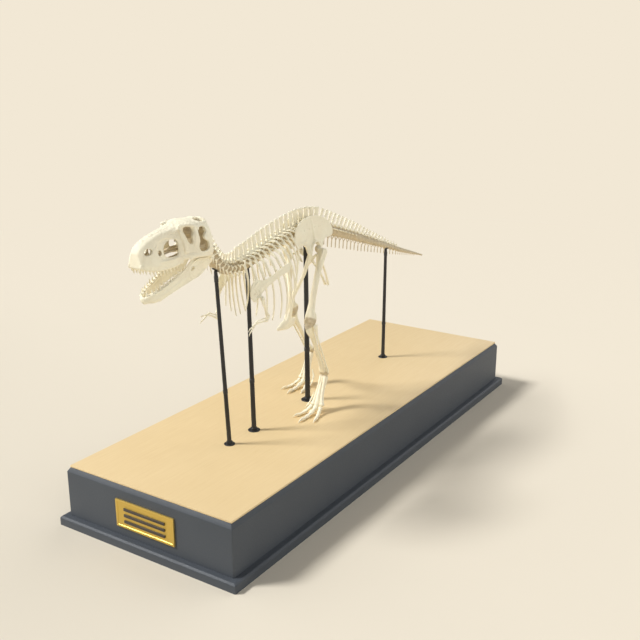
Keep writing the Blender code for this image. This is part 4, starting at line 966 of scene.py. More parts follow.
head = {
    "length": 1.61, "jawLength": 1.55, "joint": (0, -4.075, 5.29), "pitch": 1.5, "jawPitch": -20.0,
    "condyle": 0.064, "cell": 0.0085,
    # forward, bottom, top, half width at the tooth line, at the cheek, at the brow, on the roof
    "sections": [
        (-.045, .140, .300, .095, .130, .105, .050), (-.010, .020, .395, .190, .222, .160, .055),
        (.06, .012, .442, .203, .238, .178, .070), (.13, .014, .438, .206, .243, .186, .080),
        (.20, .020, .434, .205, .243, .188, .090), (.30, .030, .438, .183, .216, .172, .090),
        (.38, .015, .410, .157, .182, .138, .072), (.45, -.004, .396, .147, .166, .120, .062),
        (.52, -.020, .379, .138, .151, .104, .055), (.61, -.031, .362, .131, .142, .096, .050),
        (.70, -.035, .344, .125, .135, .089, .045), (.79, -.031, .318, .122, .131, .086, .042),
        (.86, -.020, .289, .119, .127, .083, .040), (.92, -.008, .258, .111, .118, .078, .037),
        (.965, .004, .222, .098, .105, .068, .033), (.995, .024, .170, .070, .077, .052, .028),
    ],
    "wall": .026,
    # side openings as outlines of (forward, up)
    "nostril": [(.942, .172), (.915, .206), (.872, .214), (.838, .196), (.846, .170), (.888, .150),
                (.926, .150)],
    "snoutHole": [(.762, .150), (.748, .177), (.722, .178), (.708, .150), (.722, .124), (.748, .122)],
    "faceHole": [(.680, .145), (.664, .212), (.598, .258), (.512, .268), (.480, .232), (.474, .160),
                 (.496, .100), (.570, .084), (.645, .096)],
    "eyeHole": [(.338, .392), (.374, .378), (.389, .336), (.372, .282), (.358, .226), (.330, .196),
                (.304, .216), (.301, .280), (.282, .330), (.296, .378)],
    "cheekHole": [(.212, .344), (.160, .368), (.108, .352), (.098, .305), (.142, .262), (.136, .226),
                  (.082, .190), (.078, .128), (.130, .100), (.205, .104), (.236, .150), (.216, .225),
                  (.222, .290)],
    "upperTeeth": 12, "lowerTeeth": 11,
    # seams between the bones of the side, as (forward, up)
    "seams": [
        [(.905, -.020), (.892, .040), (.872, .100), (.862, .150)],
        [(.838, .196), (.760, .246), (.680, .282), (.590, .312), (.500, .330), (.440, .352)],
        [(.500, .330), (.480, .300), (.484, .236)],
        [(.476, .120), (.452, .070), (.420, .034), (.380, .012)],
        [(.452, .150), (.420, .130), (.385, .140), (.356, .165)],
        [(.318, .192), (.290, .150), (.262, .118), (.236, .110)],
        [(.262, .395), (.232, .352), (.222, .300)],
        [(.210, .104), (.160, .075), (.110, .062), (.060, .075)],
        [(.098, .276), (.070, .262), (.030, .268), (.005, .290)],
    ],
    "seamDepth": 0.0055, "seamWidth": 0.0062,
}
jaw = {
    # forward, across, bottom, top, half thickness
    "sections": [
        (-.055, .175, -.035, -.006, .018), (.000, .175, -.075, -.012, .032),
        (.055, .162, -.098, .022, .024), (.13, .147, -.120, .098, .021), (.20, .148, -.125, .112, .021),
        (.27, .150, -.124, .110, .022), (.34, .147, -.112, .090, .024), (.42, .142, -.100, .070, .025),
        (.53, .131, -.092, .054, .026), (.65, .118, -.086, .044, .027), (.75, .104, -.085, .041, .028),
        (.85, .087, -.084, .041, .029), (.92, .068, -.072, .045, .030), (.965, .040, -.052, .043, .030),
    ],
    "window": [(.328, .018), (.298, .034), (.268, .027), (.262, .008), (.290, -.004), (.318, .002)],
    "seams": [
        [(.340, .092), (.352, .050), (.372, .000), (.380, -.050), (.350, -.100)],
        [(.250, .012), (.180, .006), (.110, -.004), (.050, -.014)],
        [(.262, .008), (.210, -.050), (.160, -.082), (.110, -.100)],
    ],
    "pinhole": [(.128, .052), (.112, .062), (.098, .052), (.112, .040)],
    "cell": 0.0078,
}


def headFrame(pitch):
    slope = math.radians(pitch)
    forward = Vector((0, -math.cos(slope), math.sin(slope)))
    up = Vector((0, math.sin(slope), math.cos(slope)))
    turn = Matrix((xAxis, forward, up)).transposed().to_4x4()
    return Matrix.Translation(head["joint"]) @ turn


def smoothRows(rows, steps):
    route = []
    ends = [[2 * a - b for a, b in zip(rows[0], rows[1])], *rows,
            [2 * a - b for a, b in zip(rows[-1], rows[-2])]]
    for a, b, c, d in zip(ends, ends[1:], ends[2:], ends[3:]):
        for k in range(steps):
            t = k / steps
            route.append([0.5 * (2 * q + (r - p) * t + (2 * p - 5 * q + 4 * r - s) * t ** 2
                                 + (3 * q - p - 3 * r + s) * t ** 3) for p, q, r, s in zip(a, b, c, d)])
    return route + [list(rows[-1])]


def headLoop(bm, place, row, sides=40):  # one cross-section of the head
    forward, bottom, top, low, cheek, brow, roof = row
    tall = top - bottom
    half = [(roof, top), (brow, bottom + .88 * tall), (cheek, bottom + .42 * tall), (low, bottom)]
    corners = half + [(-across, up) for across, up in reversed(half)]
    route = throughPoints([Vector((*p, 0)) for p in corners], sides // 8, closed=True)
    made = bmesh.ops.create_circle(bm, cap_ends=False, segments=len(route), radius=1)["verts"]
    for vert, spot in zip(made, route):
        vert.co = place @ Vector((spot.x, forward, spot.y))
    return list({edge for vert in made for edge in vert.link_edges})


upright = Matrix(((0, 0, 1, 0), (1, 0, 0, 0), (0, 1, 0, 0), (0, 0, 0, 1)))  # x runs back, y up, z out


def sideCutter(outline, place, half=0.4):  # a prism through the head with this side outline
    bm = bmesh.new()
    outlinePlate(bm, outline, 2 * half, place @ upright)
    return bm


def seamDepth(routes, f, u):  # 1 on a seam, falling to 0 beside it
    near = 9.0
    for route in routes:
        for (f0, u0), (f1, u1) in zip(route, route[1:]):
            df, du = f1 - f0, u1 - u0
            t = min(1, max(0, ((f - f0) * df + (u - u0) * du) / (df * df + du * du)))
            near = min(near, math.hypot(f - f0 - t * df, u - u0 - t * du))
    return 1 - easeIn(.15, 1.0, near / head["seamWidth"])


def buildSkull():
    place = headFrame(head["pitch"]) @ Matrix.Scale(head["length"], 4)

    def at(across, forward, up):
        return place @ Vector((across, forward, up))

    rows = smoothRows(head["sections"], 2)
    bm = bmesh.new()
    joinRings(bm, [headLoop(bm, place, row) for row in rows])
    shell = placed(bm, "skullBones")
    # hollow it, open between the tooth rows
    wall = head["wall"]
    inner = [(f, b - .07, t - wall, lo - .034, c - wall, br - wall, ro - .2 * wall)
             for f, b, t, lo, c, br, ro in rows if .055 < f < .945]
    bm = bmesh.new()
    joinRings(bm, [headLoop(bm, place, row) for row in inner])
    cut(shell, bm)
    for name in ("nostril", "snoutHole", "faceHole", "eyeHole", "cheekHole"):
        cut(shell, sideCutter(head[name], place))
    for sign in (-1, 1):  # the two upper openings behind the eyes
        bm = bmesh.new()
        spot = [(.066 + .056 * math.cos(a), .098 + .062 * math.sin(a))
                for a in (math.radians(30 * k) for k in range(12))]
        outlinePlate(bm, [(sign * (x + .036), y) for x, y in spot], .26,
                     place @ Matrix.Translation((0, 0, .45)))
        cut(shell, bm)

    bm = reopened(shell)
    scale = head["length"]

    def bar(rows, side=xAxis, sign=1):
        bars(bm, at, rows, side, sign=sign, scale=scale)

    def lump(spot, radii):
        blob(bm, at(*spot), Vector(radii) * scale)

    def rowAt(forward):
        return readRow(head["sections"], forward)

    for sign in (-1, 1):
        def pair(rows, side=xAxis):  # this side's bar of a mirrored two
            bar(rows, side, sign)

        def knob(across, forward, up, *radii):
            lump((sign * across, forward, up), radii)

        # brow: horn before the eye, bar over it, boss behind it
        pair([(.104, .47, .345, .014, .012), (.126, .415, .386, .022, .023), (.146, .362, .400, .018, .017),
              (.168, .305, .398, .024, .025), (.186, .245, .372, .018, .018),
              (.190, .195, .340, .012, .012)])
        knob(.124, .412, .398, .023, .040, .020)
        knob(.172, .296, .392, .027, .036, .026)
        # the bar behind the eye and the strut before it
        pair([(.186, .258, .372, .016, .019), (.208, .262, .295, .015, .021),
              (.216, .272, .215, .016, .024), (.210, .290, .140, .014, .030)])
        pair([(.128, .430, .372, .014, .019), (.158, .424, .290, .014, .018),
              (.178, .405, .200, .015, .022), (.190, .385, .110, .014, .030)])
        # cheek bone with its low boss, and the bar back to the jaw joint
        pair(
            [(.158, .475, .060, .015, .024), (.183, .395, .062, .018, .030), (.212, .315, .066, .019, .034),
             (.232, .235, .064, .017, .028), (.238, .150, .058, .016, .026), (.226, .065, .050, .018, .030),
             (.200, .010, .030, .022, .026)])
        knob(.205, .335, .040, .018, .034, .022)
        # rear upright and its forward spur, which pinches the opening
        pair([(.180, .050, .350, .015, .026), (.208, .040, .270, .014, .026),
              (.214, .045, .190, .014, .024), (.200, .020, .090, .020, .030),
              (.180, .000, .018, .028, .024)])
        pair([(.206, .070, .255, .010, .022), (.216, .112, .246, .009, .014),
              (.216, .146, .242, .007, .008)])
        knob(.176, .000, .012, .034, .022, .020)
        # rim of the upper opening
        pair([(.165, .190, .372, .016, .016), (.172, .105, .372, .015, .017),
              (.150, .030, .362, .016, .017), (.100, -.012, .372, .014, .017)])
        # wing of bone from the braincase
        pair([(.040, -.020, .262, .030, .024), (.110, -.040, .250, .028, .016),
              (.180, -.038, .205, .034, .010)], zAxis)
        # maxilla: edge of the tooth row, ridge under the face opening, inner shelf
        edge = [(.975, .018, .018), (.93, .020, .020), (.86, .022, .022), (.76, .023, .024),
                (.66, .023, .024), (.56, .021, .022), (.48, .018, .019), (.42, .014, .015)]
        pair([(rowAt(f)[3] - .012, f, rowAt(f)[0] + .014, w, d) for f, w, d in edge])
        pair([(.139, .755, .052, .008, .012), (.147, .66, .058, .010, .014), (.155, .56, .062, .010, .014),
              (.166, .47, .070, .010, .014)])
        pair([(.050, .90, .050, .024, .010), (.072, .78, .048, .036, .010), (.080, .62, .060, .038, .010),
              (.098, .50, .075, .036, .011), (.120, .42, .085, .026, .013)])
        # palate bones
        pair([(.020, .66, .095, .012, .012), (.034, .52, .118, .026, .012), (.048, .40, .135, .034, .012),
              (.070, .28, .135, .034, .013), (.115, .16, .130, .026, .022), (.160, .06, .120, .016, .036)])
        pair([(.075, .29, .135, .020, .012), (.112, .31, .105, .024, .011),
              (.135, .33, .072, .020, .012)], yAxis)
        # swellings over the tooth roots
        for k in range(head["upperTeeth"]):
            f = mixed(.985, .44, (k / (head["upperTeeth"] - 1)) ** .95)
            knob(rowAt(f)[3] - .004 + .004 * f, f, rowAt(f)[0] + .020, .014, .017, .030)
    # roof of the snout: low rugged knobs either side of the seam
    for k in range(17):
        f = mixed(.90, .40, k / 16)
        top = rowAt(f)[1]
        size = .013 + .006 * math.sin(1.7 * k) + .005 * math.sin(math.pi * k / 16)
        for sign in (-1, 1):
            lump((sign * (.014 + .008 * math.cos(2.1 * k + sign)), f, top - .006),
                 (size, size * 1.35, size * 0.9))
    # braincase, its ball, the crests over it, the rod and the blade in the midline
    bar([(0, -.060, .262, .034, .036), (0, .00, .275, .062, .060), (0, .10, .290, .066, .072),
         (0, .20, .310, .054, .070), (0, .30, .345, .046, .060)])
    bar([(0, .12, .245, .026, .030), (0, .25, .225, .014, .018), (0, .38, .215, .007, .010)])
    bar([(0, .92, .045, .026, .012), (0, .80, .070, .030, .010), (0, .66, .092, .018, .014),
         (0, .56, .100, .010, .012)])
    bar([(0, .018, .420, .022, .024), (0, .09, .414, .016, .022), (0, .165, .412, .024, .020)])
    bar([(-.128, -.022, .330, .016, .020), (-.070, -.036, .392, .017, .026), (0, -.030, .412, .018, .024),
         (.070, -.036, .392, .017, .026), (.128, -.022, .330, .016, .020)], yAxis)
    end, along, up = alongSpine(0)
    limb(bm, [end - along * 0.24, end - along * 0.10, end - along * 0.045],
         [(0.075, 0.075), (head["condyle"], head["condyle"]), (0.058, 0.058)], sides=14)
    skull = fuse(bm, "skullBones", head["cell"], 3)
    inverse = place.inverted()

    def sculpt(spot, normal):
        a, f, u = inverse @ spot
        moved = Vector()
        sign = math.copysign(1, a)
        facing = easeIn(.25, .6, normal.x * sign)
        # basin round the face openings
        edge = math.hypot((f - .618) / .172, (u - .162) / (.134 if u > .162 else .104))
        basin = 1 - easeIn(.88, 1.00, edge + .03 * noise.noise(spot * 9))
        moved -= xAxis * (sign * .018 * basin * facing)
        if edge > .94 or f < .47:
            wander = .004 * noise.noise(spot * 30)
            moved -= normal * (head["seamDepth"] * seamDepth(head["seams"], f + wander, u + wander) * facing)
        # groove under the brow and before the nostril
        brow = 1 - easeIn(.3, 1.0, math.hypot((f - .335) / .10, (u - .33) / .035))
        moved -= xAxis * (sign * .010 * brow * facing)
        # rough skin: strong on the snout's roof and the bosses
        rugged = easeIn(.0, .05, u - (.300 if f > .4 else .335)) * easeIn(.2, .6, normal.z + .3)
        lumps = noise.noise(spot * 26) + .6 * noise.noise(spot * 52)
        moved += normal * ((.0014 + .0052 * rugged) * lumps)
        moved += normal * (.0030 * noise.noise(spot * 8))
        return moved

    press(skull, sculpt)
    bm = bmesh.new()
    bm.from_mesh(skull.data)
    rims = []
    for vert in bm.verts:  # the thin rims of the face openings are worn smooth
        a, f, u = inverse @ vert.co
        if math.hypot((f - .618) / .172, (u - .162) / .134) < .92:
            rims.append(vert)
    for _ in range(4):
        bmesh.ops.smooth_vert(bm, verts=rims, factor=0.5, use_axis_x=True, use_axis_y=True, use_axis_z=True)
    bm.to_mesh(skull.data)
    bm.free()

    def tanAt(spot):  # painted shade in tan on the inside of the head and the back of the braincase
        a, f, u = inverse @ spot
        bottom, top, low, cheek, brow, roof = rowAt(min(.995, max(-.045, f)))
        wide = readRow([(0, low), (.42, cheek), (.88, brow), (1, roof)], (u - bottom) / (top - bottom))[0]
        depth = min(wide - abs(a), top - u, .974 - f)
        return easeIn(.020, .034, depth + .003 * noise.noise(spot * 20))

    tanned(skull, tanAt)
    ready(skull, boneFinish, ["skull"])


def buildTooth(bm, root, tip, bend, long, wide, out):
    # a compressed cone that curves back; long and wide are its radii fore and aft and across
    path = [root + (tip - root) * t - bend * (4 * t * (1 - t) * 0.16) for t in
            (0, .16, .34, .52, .68, .82, .93, 1.0)]
    shape = [.82, .98, 1.0, .88, .70, .48, .26, .07]
    spots = []
    for k, (point, share) in enumerate(zip(path, shape)):
        run = (path[min(k + 1, 7)] - path[max(k - 1, 0)]).normalized()
        across = (out - run * out.dot(run)).normalized()
        spots.append((point, across * (wide * share), run.cross(across) * (long * share)))
    sweep(bm, spots, 12)


def buildUpperTeeth():
    turn = headFrame(head["pitch"])
    scale, count = head["length"], head["upperTeeth"]
    bm = bmesh.new()
    for sign in (-1, 1):
        for k in range(count):
            forward = mixed(.985, .44, (k / (count - 1)) ** .95)
            row = readRow(head["sections"], forward)
            size = .105 * math.sin(math.pi * mixed(.20, .86, k / (count - 1)))
            size *= 1 + .10 * math.sin(2.6 * k + .7 * sign)
            root = Vector((sign * (row[2] - .018), forward, row[0] + .020)) * scale
            tip = root + Vector((sign * .002, -.030, -(.035 + size) * 1.08))
            wide = .013 + .050 * size
            heading = turn.to_3x3() @ Vector((0, 1, 0))
            buildTooth(bm, turn @ root, turn @ tip, -heading * (.35 * (tip - root).length),
                       .011 + .125 * size, wide, xAxis)
    ready(placed(bm, "upperTeeth"), toothFinish, ["skull"], crease=0)


def buildJaw():
    place = headFrame(head["jawPitch"]) @ Matrix.Scale(head["jawLength"], 4)
    scale = head["jawLength"]

    def at(across, forward, up):
        return place @ Vector((across, forward, up))

    turn = place.to_3x3().normalized()
    up, ahead = turn @ zAxis, turn @ yAxis

    def bar(rows, side=xAxis, sign=1):
        bars(bm, at, rows, side, sign=sign, scale=scale)

    bm = bmesh.new()
    for sign in (-1, 1):
        loops = []
        for f, a, b, t, half in smoothRows(jaw["sections"], 2):
            loops.append((at(sign * a, f, (b + t) / 2), xAxis * (half * scale),
                          up * ((t - b) / 2 * scale)))
        sweep(bm, loops, 16)
    bar([(-.045, .952, -.010, .030, .046), (-.015, .985, -.006, .026, .048),
         (.015, .985, -.006, .026, .048), (.045, .952, -.010, .030, .046)], ahead)
    shape = fuse(bm, "lowerJawBones", jaw["cell"] * 1.2, 1)
    for name in ("window", "pinhole"):
        cut(shape, sideCutter(jaw[name], place))
    bm = reopened(shape)
    for sign in (-1, 1):
        def pair(rows, side=xAxis):
            bar(rows, side, sign)

        # shelf over the hinge, edge of the tooth row, lower keel, seam of the splenial
        pair([(.186, .010, .004, .012, .010), (.180, .075, .030, .015, .013),
              (.170, .150, .068, .015, .012), (.168, .230, .076, .011, .010),
              (.166, .300, .066, .006, .006)])
        edge = [(.955, .026, .016), (.90, .030, .017), (.82, .031, .017), (.72, .030, .017),
                (.62, .029, .016), (.52, .027, .015), (.42, .022, .013), (.36, .014, .010)]
        tops = [readRow(jaw["sections"], f) for f, _, _ in edge]
        pair([(top[0], f, top[2] - .010, w, d) for top, (f, w, d) in zip(tops, edge)])
        pair([(.158, .02, -.070, .016, .010), (.150, .13, -.112, .018, .012),
              (.152, .26, -.116, .019, .012), (.144, .42, -.094, .019, .012),
              (.120, .65, -.080, .020, .012), (.088, .85, -.078, .020, .012)])
        pair([(.164, .345, -.070, .008, .010), (.163, .365, -.010, .009, .010),
              (.160, .380, .050, .008, .010)])
        # hinge cup and the short lever behind it
        pair([(.135, .004, -.020, .022, .017), (.175, .000, -.026, .026, .016),
              (.212, .004, -.020, .020, .015)], ahead)
        pair([(.150, -.028, -.014, .010, .012), (.175, -.032, -.012, .012, .013),
              (.200, -.028, -.014, .010, .012)], ahead)
    inverse = place.inverted()

    def sculpt(spot, normal):
        a, f, u = inverse @ spot
        sign = math.copysign(1, a)
        facing = easeIn(.3, .7, normal.x * sign)
        groove = 1 - easeIn(.3, 1.0, abs(u - (.006 - .02 * f)) / .022)
        groove *= easeIn(.38, .46, f) * (1 - easeIn(.86, .93, f))
        lumps = noise.noise(spot * 24) + .6 * noise.noise(spot * 50)
        moved = normal * (.0016 * lumps + .003 * noise.noise(spot * 8))
        wander = .004 * noise.noise(spot * 30)
        seam = seamDepth(jaw["seams"], f + wander, u + wander)
        moved -= normal * (head["seamDepth"] * seam * facing)
        return moved - xAxis * (sign * .007 * groove * facing)

    boneFrom(bm, "lowerJawBones", ["lower_jaw"], jaw["cell"], 3, move=sculpt)

    turn = headFrame(head["jawPitch"])
    count = head["lowerTeeth"]
    bm = bmesh.new()
    for sign in (-1, 1):
        for k in range(count):
            forward = mixed(.955, .40, k / (count - 1))
            a, _, top, _ = readRow(jaw["sections"], forward)
            size = .085 * math.sin(math.pi * mixed(.28, .86, k / (count - 1)))
            size *= 1 + .10 * math.sin(2.2 * k + sign)
            root = Vector((sign * a, forward, top - .018)) * scale
            tip = root + Vector((0, -.022, .036 + size))
            buildTooth(bm, turn @ root, turn @ tip, -ahead * (.30 * (tip - root).length),
                       .010 + .12 * size, .012 + .05 * size, xAxis)
    ready(placed(bm, "lowerTeeth"), toothFinish, ["lower_jaw"], crease=0)


buildSkull()
buildUpperTeeth()
buildJaw()
print("skull and jaw ready")


# hips

hips = {
    "socket": (0.33, -0.58, 4.80), "plateX": 0.270, "lean": 8.0, "thickness": 0.026,
    "socketRadius": 0.128, "cell": 0.0085,
    # the blade's outline as (towards the tail, up) from the socket
    "outline": [
        (-.27, -.09), (-.33, .08), (-.45, .15), (-.58, .09), (-.675, .17), (-.695, .35), (-.57, .54),
        (-.30, .655), (.02, .685), (.36, .62), (.63, .475), (.725, .30), (.66, .18), (.42, .17),
        (.29, .06), (.225, -.05), (.14, -.03), (.115, .06), (.0, .128), (-.115, .06), (-.145, -.04),
    ],
    "boot": (0, -1.27, 3.26), "ischiumTip": (0.038, 0.30, 3.78),
}
hip = Vector(hips["socket"])


def sidePlane(x, y, z, lean=0.0, turn=0.0):  # local x runs to the tail, y up, z outwards
    return (Matrix.Translation((x, y, z)) @ Matrix.Rotation(turn, 4, "Z")
            @ Matrix.Rotation(lean, 4, "Y") @ upright)


def buildIlium(side):
    sign = handed[side]
    place = sidePlane(hips["plateX"] * sign, hip.y, hip.z, -math.radians(hips["lean"]) * sign)
    flat = place.to_3x3() @ zAxis

    def at(x, y, out=0.0):
        return place @ Vector((x, y, sign * out))

    bm = bmesh.new()
    rim = outlinePlate(bm, hips["outline"], hips["thickness"], place)
    rim = rim[::2] + [rim[0]]
    widths = []
    for point in rim:
        local = place.inverted() @ point
        widths.append(mixed(0.026, 0.018, easeIn(0.05, 0.5, local.y)))
    limb(bm, rim, [(w, 0.017) for w in widths], flat, 10, 1)
    # lip over the socket, thick feet before and behind it
    arc = [(math.radians(d), e) for d, e in ((-8, .018), (30, .030), (75, .042), (110, .044), (150, .032),
                                           (188, .018))]
    radius = hips["socketRadius"] + 0.020
    limb(bm, [at(radius * math.cos(a), radius * math.sin(a), 0.5 * e) for a, e in arc],
         [(0.020 + 0.65 * e, 0.024) for _, e in arc], flat, 12)
    bars(bm, at,
        [(-.235, .10, 0, .034, .050), (-.225, 0, 0, .042, .060), (-.210, -.095, 0, .050, .066)], flat, 12)
    bars(bm, at,
        [(.215, .10, 0, .034, .045), (.200, .02, 0, .040, .048), (.185, -.050, 0, .044, .050)], flat, 12)
    # upright ridge to the blade's top, hook in front, shelf behind
    bars(bm, at, [(.01, .16, .022, .030, .050), (-.005, .32, .016, .020, .036),
                  (-.02, .50, .012, .014, .034), (-.03, .66, .006, .014, .050)], flat, 12)
    bars(bm, at, [(-.30, .20, .004, .022, .030), (-.45, .19, .006, .020, .028),
                  (-.60, .17, .004, .016, .040)], flat, 10)
    bars(bm, at, [(.24, .14, -.012, .026, .024), (.44, .205, -.022, .034, .020),
                  (.64, .235, -.018, .024, .022)], flat, 10)
    inverse = place.inverted()

    def strain(spot, normal):  # fine ribs that fan towards the top edge
        local = inverse @ spot
        fan = math.atan2(local.x, local.y + 0.9)
        edge = easeIn(.36, .58, local.y + .10 * abs(local.x))
        lines = noise.noise(Vector((fan * 70, local.y * 3, sign)))
        return normal * (.0042 * edge * lines + .0020 * noise.noise(spot * 9)
                         + .0010 * noise.noise(spot * 25))

    boneFrom(bm, f"{side}Ilium", [f"ilium_{side}"], hips["cell"], move=strain)


def buildPubes():
    foot = Vector(hips["boot"])
    bm = bmesh.new()
    for sign in (-1, 1):
        def out(x, y, z):
            return Vector((x * sign, y, z))
        top = hip + Vector((-0.055, -0.205, -0.125))
        joined = top.lerp(foot, 0.62)
        points = [(top.x, top.y + .005, top.z + .012), (.245, top.y - .03, top.z - .10),
                  (.200, *top.lerp(joined, .45).yz), (.110, *top.lerp(joined, .76).yz),
                  (.036, *joined.yz), (.030, *joined.lerp(foot, .55).yz), (.030, foot.y, foot.z + .02)]
        limb(bm, [out(*p) for p in points],
             [(.052, .074), (.044, .066), (.038, .046), (.034, .044), (.034, .050), (.036, .058),
              (.044, .100)], sides=14)
        # edge that closes the socket below, round a small window
        bars(bm, out,
            [(top.x, top.y + .04, top.z - .03, .034, .038),
             (top.x - .004, top.y + .13, top.z - .055, .026, .026),
             (top.x - .006, top.y + .195, top.z - .045, .030, .032)], sides=10)
        bars(bm, out,
            [(.250, top.y - .02, top.z - .19, .016, .026), (.262, top.y + .065, top.z - .150, .012, .016),
             (.270, top.y + .165, top.z - .075, .018, .024)], sides=10)
        # thin sheet towards the middle plane
        limb(bm, [out(.150, *top.lerp(joined, .62).yz), out(.075, *top.lerp(joined, .78).yz),
                  out(.030, *top.lerp(joined, .95).yz)],
             [(.012, .016), (.050, .016), (.036, .022)], sides=10)
    blade = [(-.345, -.052), (-.27, -.040), (-.14, -.018), (.0, -.012), (.13, -.010), (.23, .006),
             (.305, .030)]
    limb(bm, [(0, foot.y + y, foot.z + z) for y, z in blade],
         [(.026, .030), (.044, .058), (.072, .094), (.082, .108), (.066, .098), (.044, .068),
          (.024, .032)], sides=18)
    for sign in (-1, 1):  # the boot's two halves swell on either side of a seam
        limb(bm, [(sign * .028, foot.y - .22, foot.z - .06), (sign * .048, foot.y - .02, foot.z - .058),
                  (sign * .034, foot.y + .18, foot.z - .030)],
             [(.030, .040), (.040, .050), (.030, .045)], sides=12)
    boneFrom(bm, "pubesBones", ["pubes"], hips["cell"], lumps=0.0026)


def buildIschium(side):
    sign = handed[side]
    tip = Vector(hips["ischiumTip"])
    top = hip + Vector((-0.065, 0.20, -0.105))

    def out(x, y, z):
        return Vector((x * sign, y, z))

    bm = bmesh.new()
    points = [top, top.lerp(tip, .13), top.lerp(tip, .3) + Vector((-.05, .02, .03)), top.lerp(tip, .5)
              + Vector((-.045, .03, .04)), top.lerp(tip, .7) + Vector((-.03, .03, .04)),
              top.lerp(tip, .88) + Vector((-.01, .015, .02)), tip]
    limb(bm, [out(*p) for p in points],
         [(.046, .074), (.036, .056), (.028, .040), (.025, .032), (.024, .029), (.026, .031), (.030, .040)],
         sides=12)
    bars(bm, out,
        [(top.x, top.y - .02, top.z - .02, .034, .044), (top.x, top.y - .10, top.z - .050, .028, .030),
         (top.x - .002, top.y - .170, top.z - .058, .030, .034)], sides=10)
    bars(bm, out,
        [(top.x - .01, top.y - .10, top.z - .08, .014, .030),
         (top.x - .04, top.y - .06, top.z - .20, .013, .044),
         (top.x - .075, top.y - .01, top.z - .29, .010, .020)], sides=10)
    boneFrom(bm, f"{side}Ischium", [f"ischium_{side}"], .0075, 3, 0.0022)


# legs

legs = {
    "femur": 1.58, "tibia": 1.40, "femurTopX": 0.47, "kneeX": 0.52, "ankleX": 0.56, "footX": 0.58,
    "left": ((-0.67, 2.05), (-0.98, 1.40)), "right": ((0.46, 2.07), (0.25, 1.39)),
    "fibulaOut": (0.150, 0.116),
    # toe: shift across, splay, length, bones with the claw, radius
    "toes": {"inner": (-.112, -17, .56, 3, .050), "middle": (0, 0, .72, 4, .056),
             "outer": (.112, 17, .58, 5, .048)},
    "cell": 0.0085, "footCell": 0.0058,
}
sole = base["topLevel"] + gap


class LimbFrame:  # reads places along a bone: share of its length, outwards, ahead
    def __init__(self, top, bottom):
        self.top, self.axis = top, bottom - top
        out = xAxis * math.copysign(1, top.x + bottom.x)
        self.out = (out - self.axis * out.dot(self.axis) / self.axis.length_squared).normalized()
        self.ahead = self.axis.normalized().cross(xAxis).normalized()
        if self.ahead.y > 0:
            self.ahead.negate()

    def at(self, share, out=0.0, ahead=0.0):
        return self.top + self.axis * share + self.out * out + self.ahead * ahead

    def bar(self, bm, rows, sides=14):  # rows: share, out, ahead, half across, half deep
        bars(bm, self.at, rows, self.out, sides)

    def local(self, spot):
        arm = spot - self.top
        return arm.dot(self.axis) / self.axis.length_squared, arm.dot(self.out), arm.dot(self.ahead)


def kneeOf(side):
    start = Vector((hip.y, hip.z - 0.02))
    reach = Vector(legs[side][0]) - start
    along = (legs["femur"] ** 2 - legs["tibia"] ** 2 + reach.length_squared) / (2 * reach.length)
    bend = math.sqrt(max(0.0, legs["femur"] ** 2 - along ** 2))
    unit = reach.normalized()
    ahead = Vector((unit.y, -unit.x))
    if ahead.x > 0:
        ahead.negate()
    spot = start + unit * along + ahead * bend
    return Vector((legs["kneeX"] * handed[side], spot.x, spot.y))


def boneGrain(frameOf, depth, groove=None):  # faint lengthwise grain, broad unevenness, a groove
    def move(spot, normal):
        share, out, ahead = frameOf.local(spot)
        angle = math.atan2(out, ahead)
        grain = noise.noise(Vector((share * 4, math.cos(angle) * 5, math.sin(angle) * 5)))
        moved = normal * (depth * (grain + .8 * noise.noise(spot * 11) + .35 * noise.noise(spot * 30)))
        return moved + groove(share, out, ahead) if groove else moved
    return move


def jointTan(frame, top=-1.0, bottom=2.0):  # tan ends: above share top, below share bottom
    def shareAt(spot):
        share = frame.local(spot)[0] + .008 * noise.noise(spot * 16)
        return max(1 - easeIn(top, top + .03, share), easeIn(bottom - .03, bottom, share))
    return shareAt


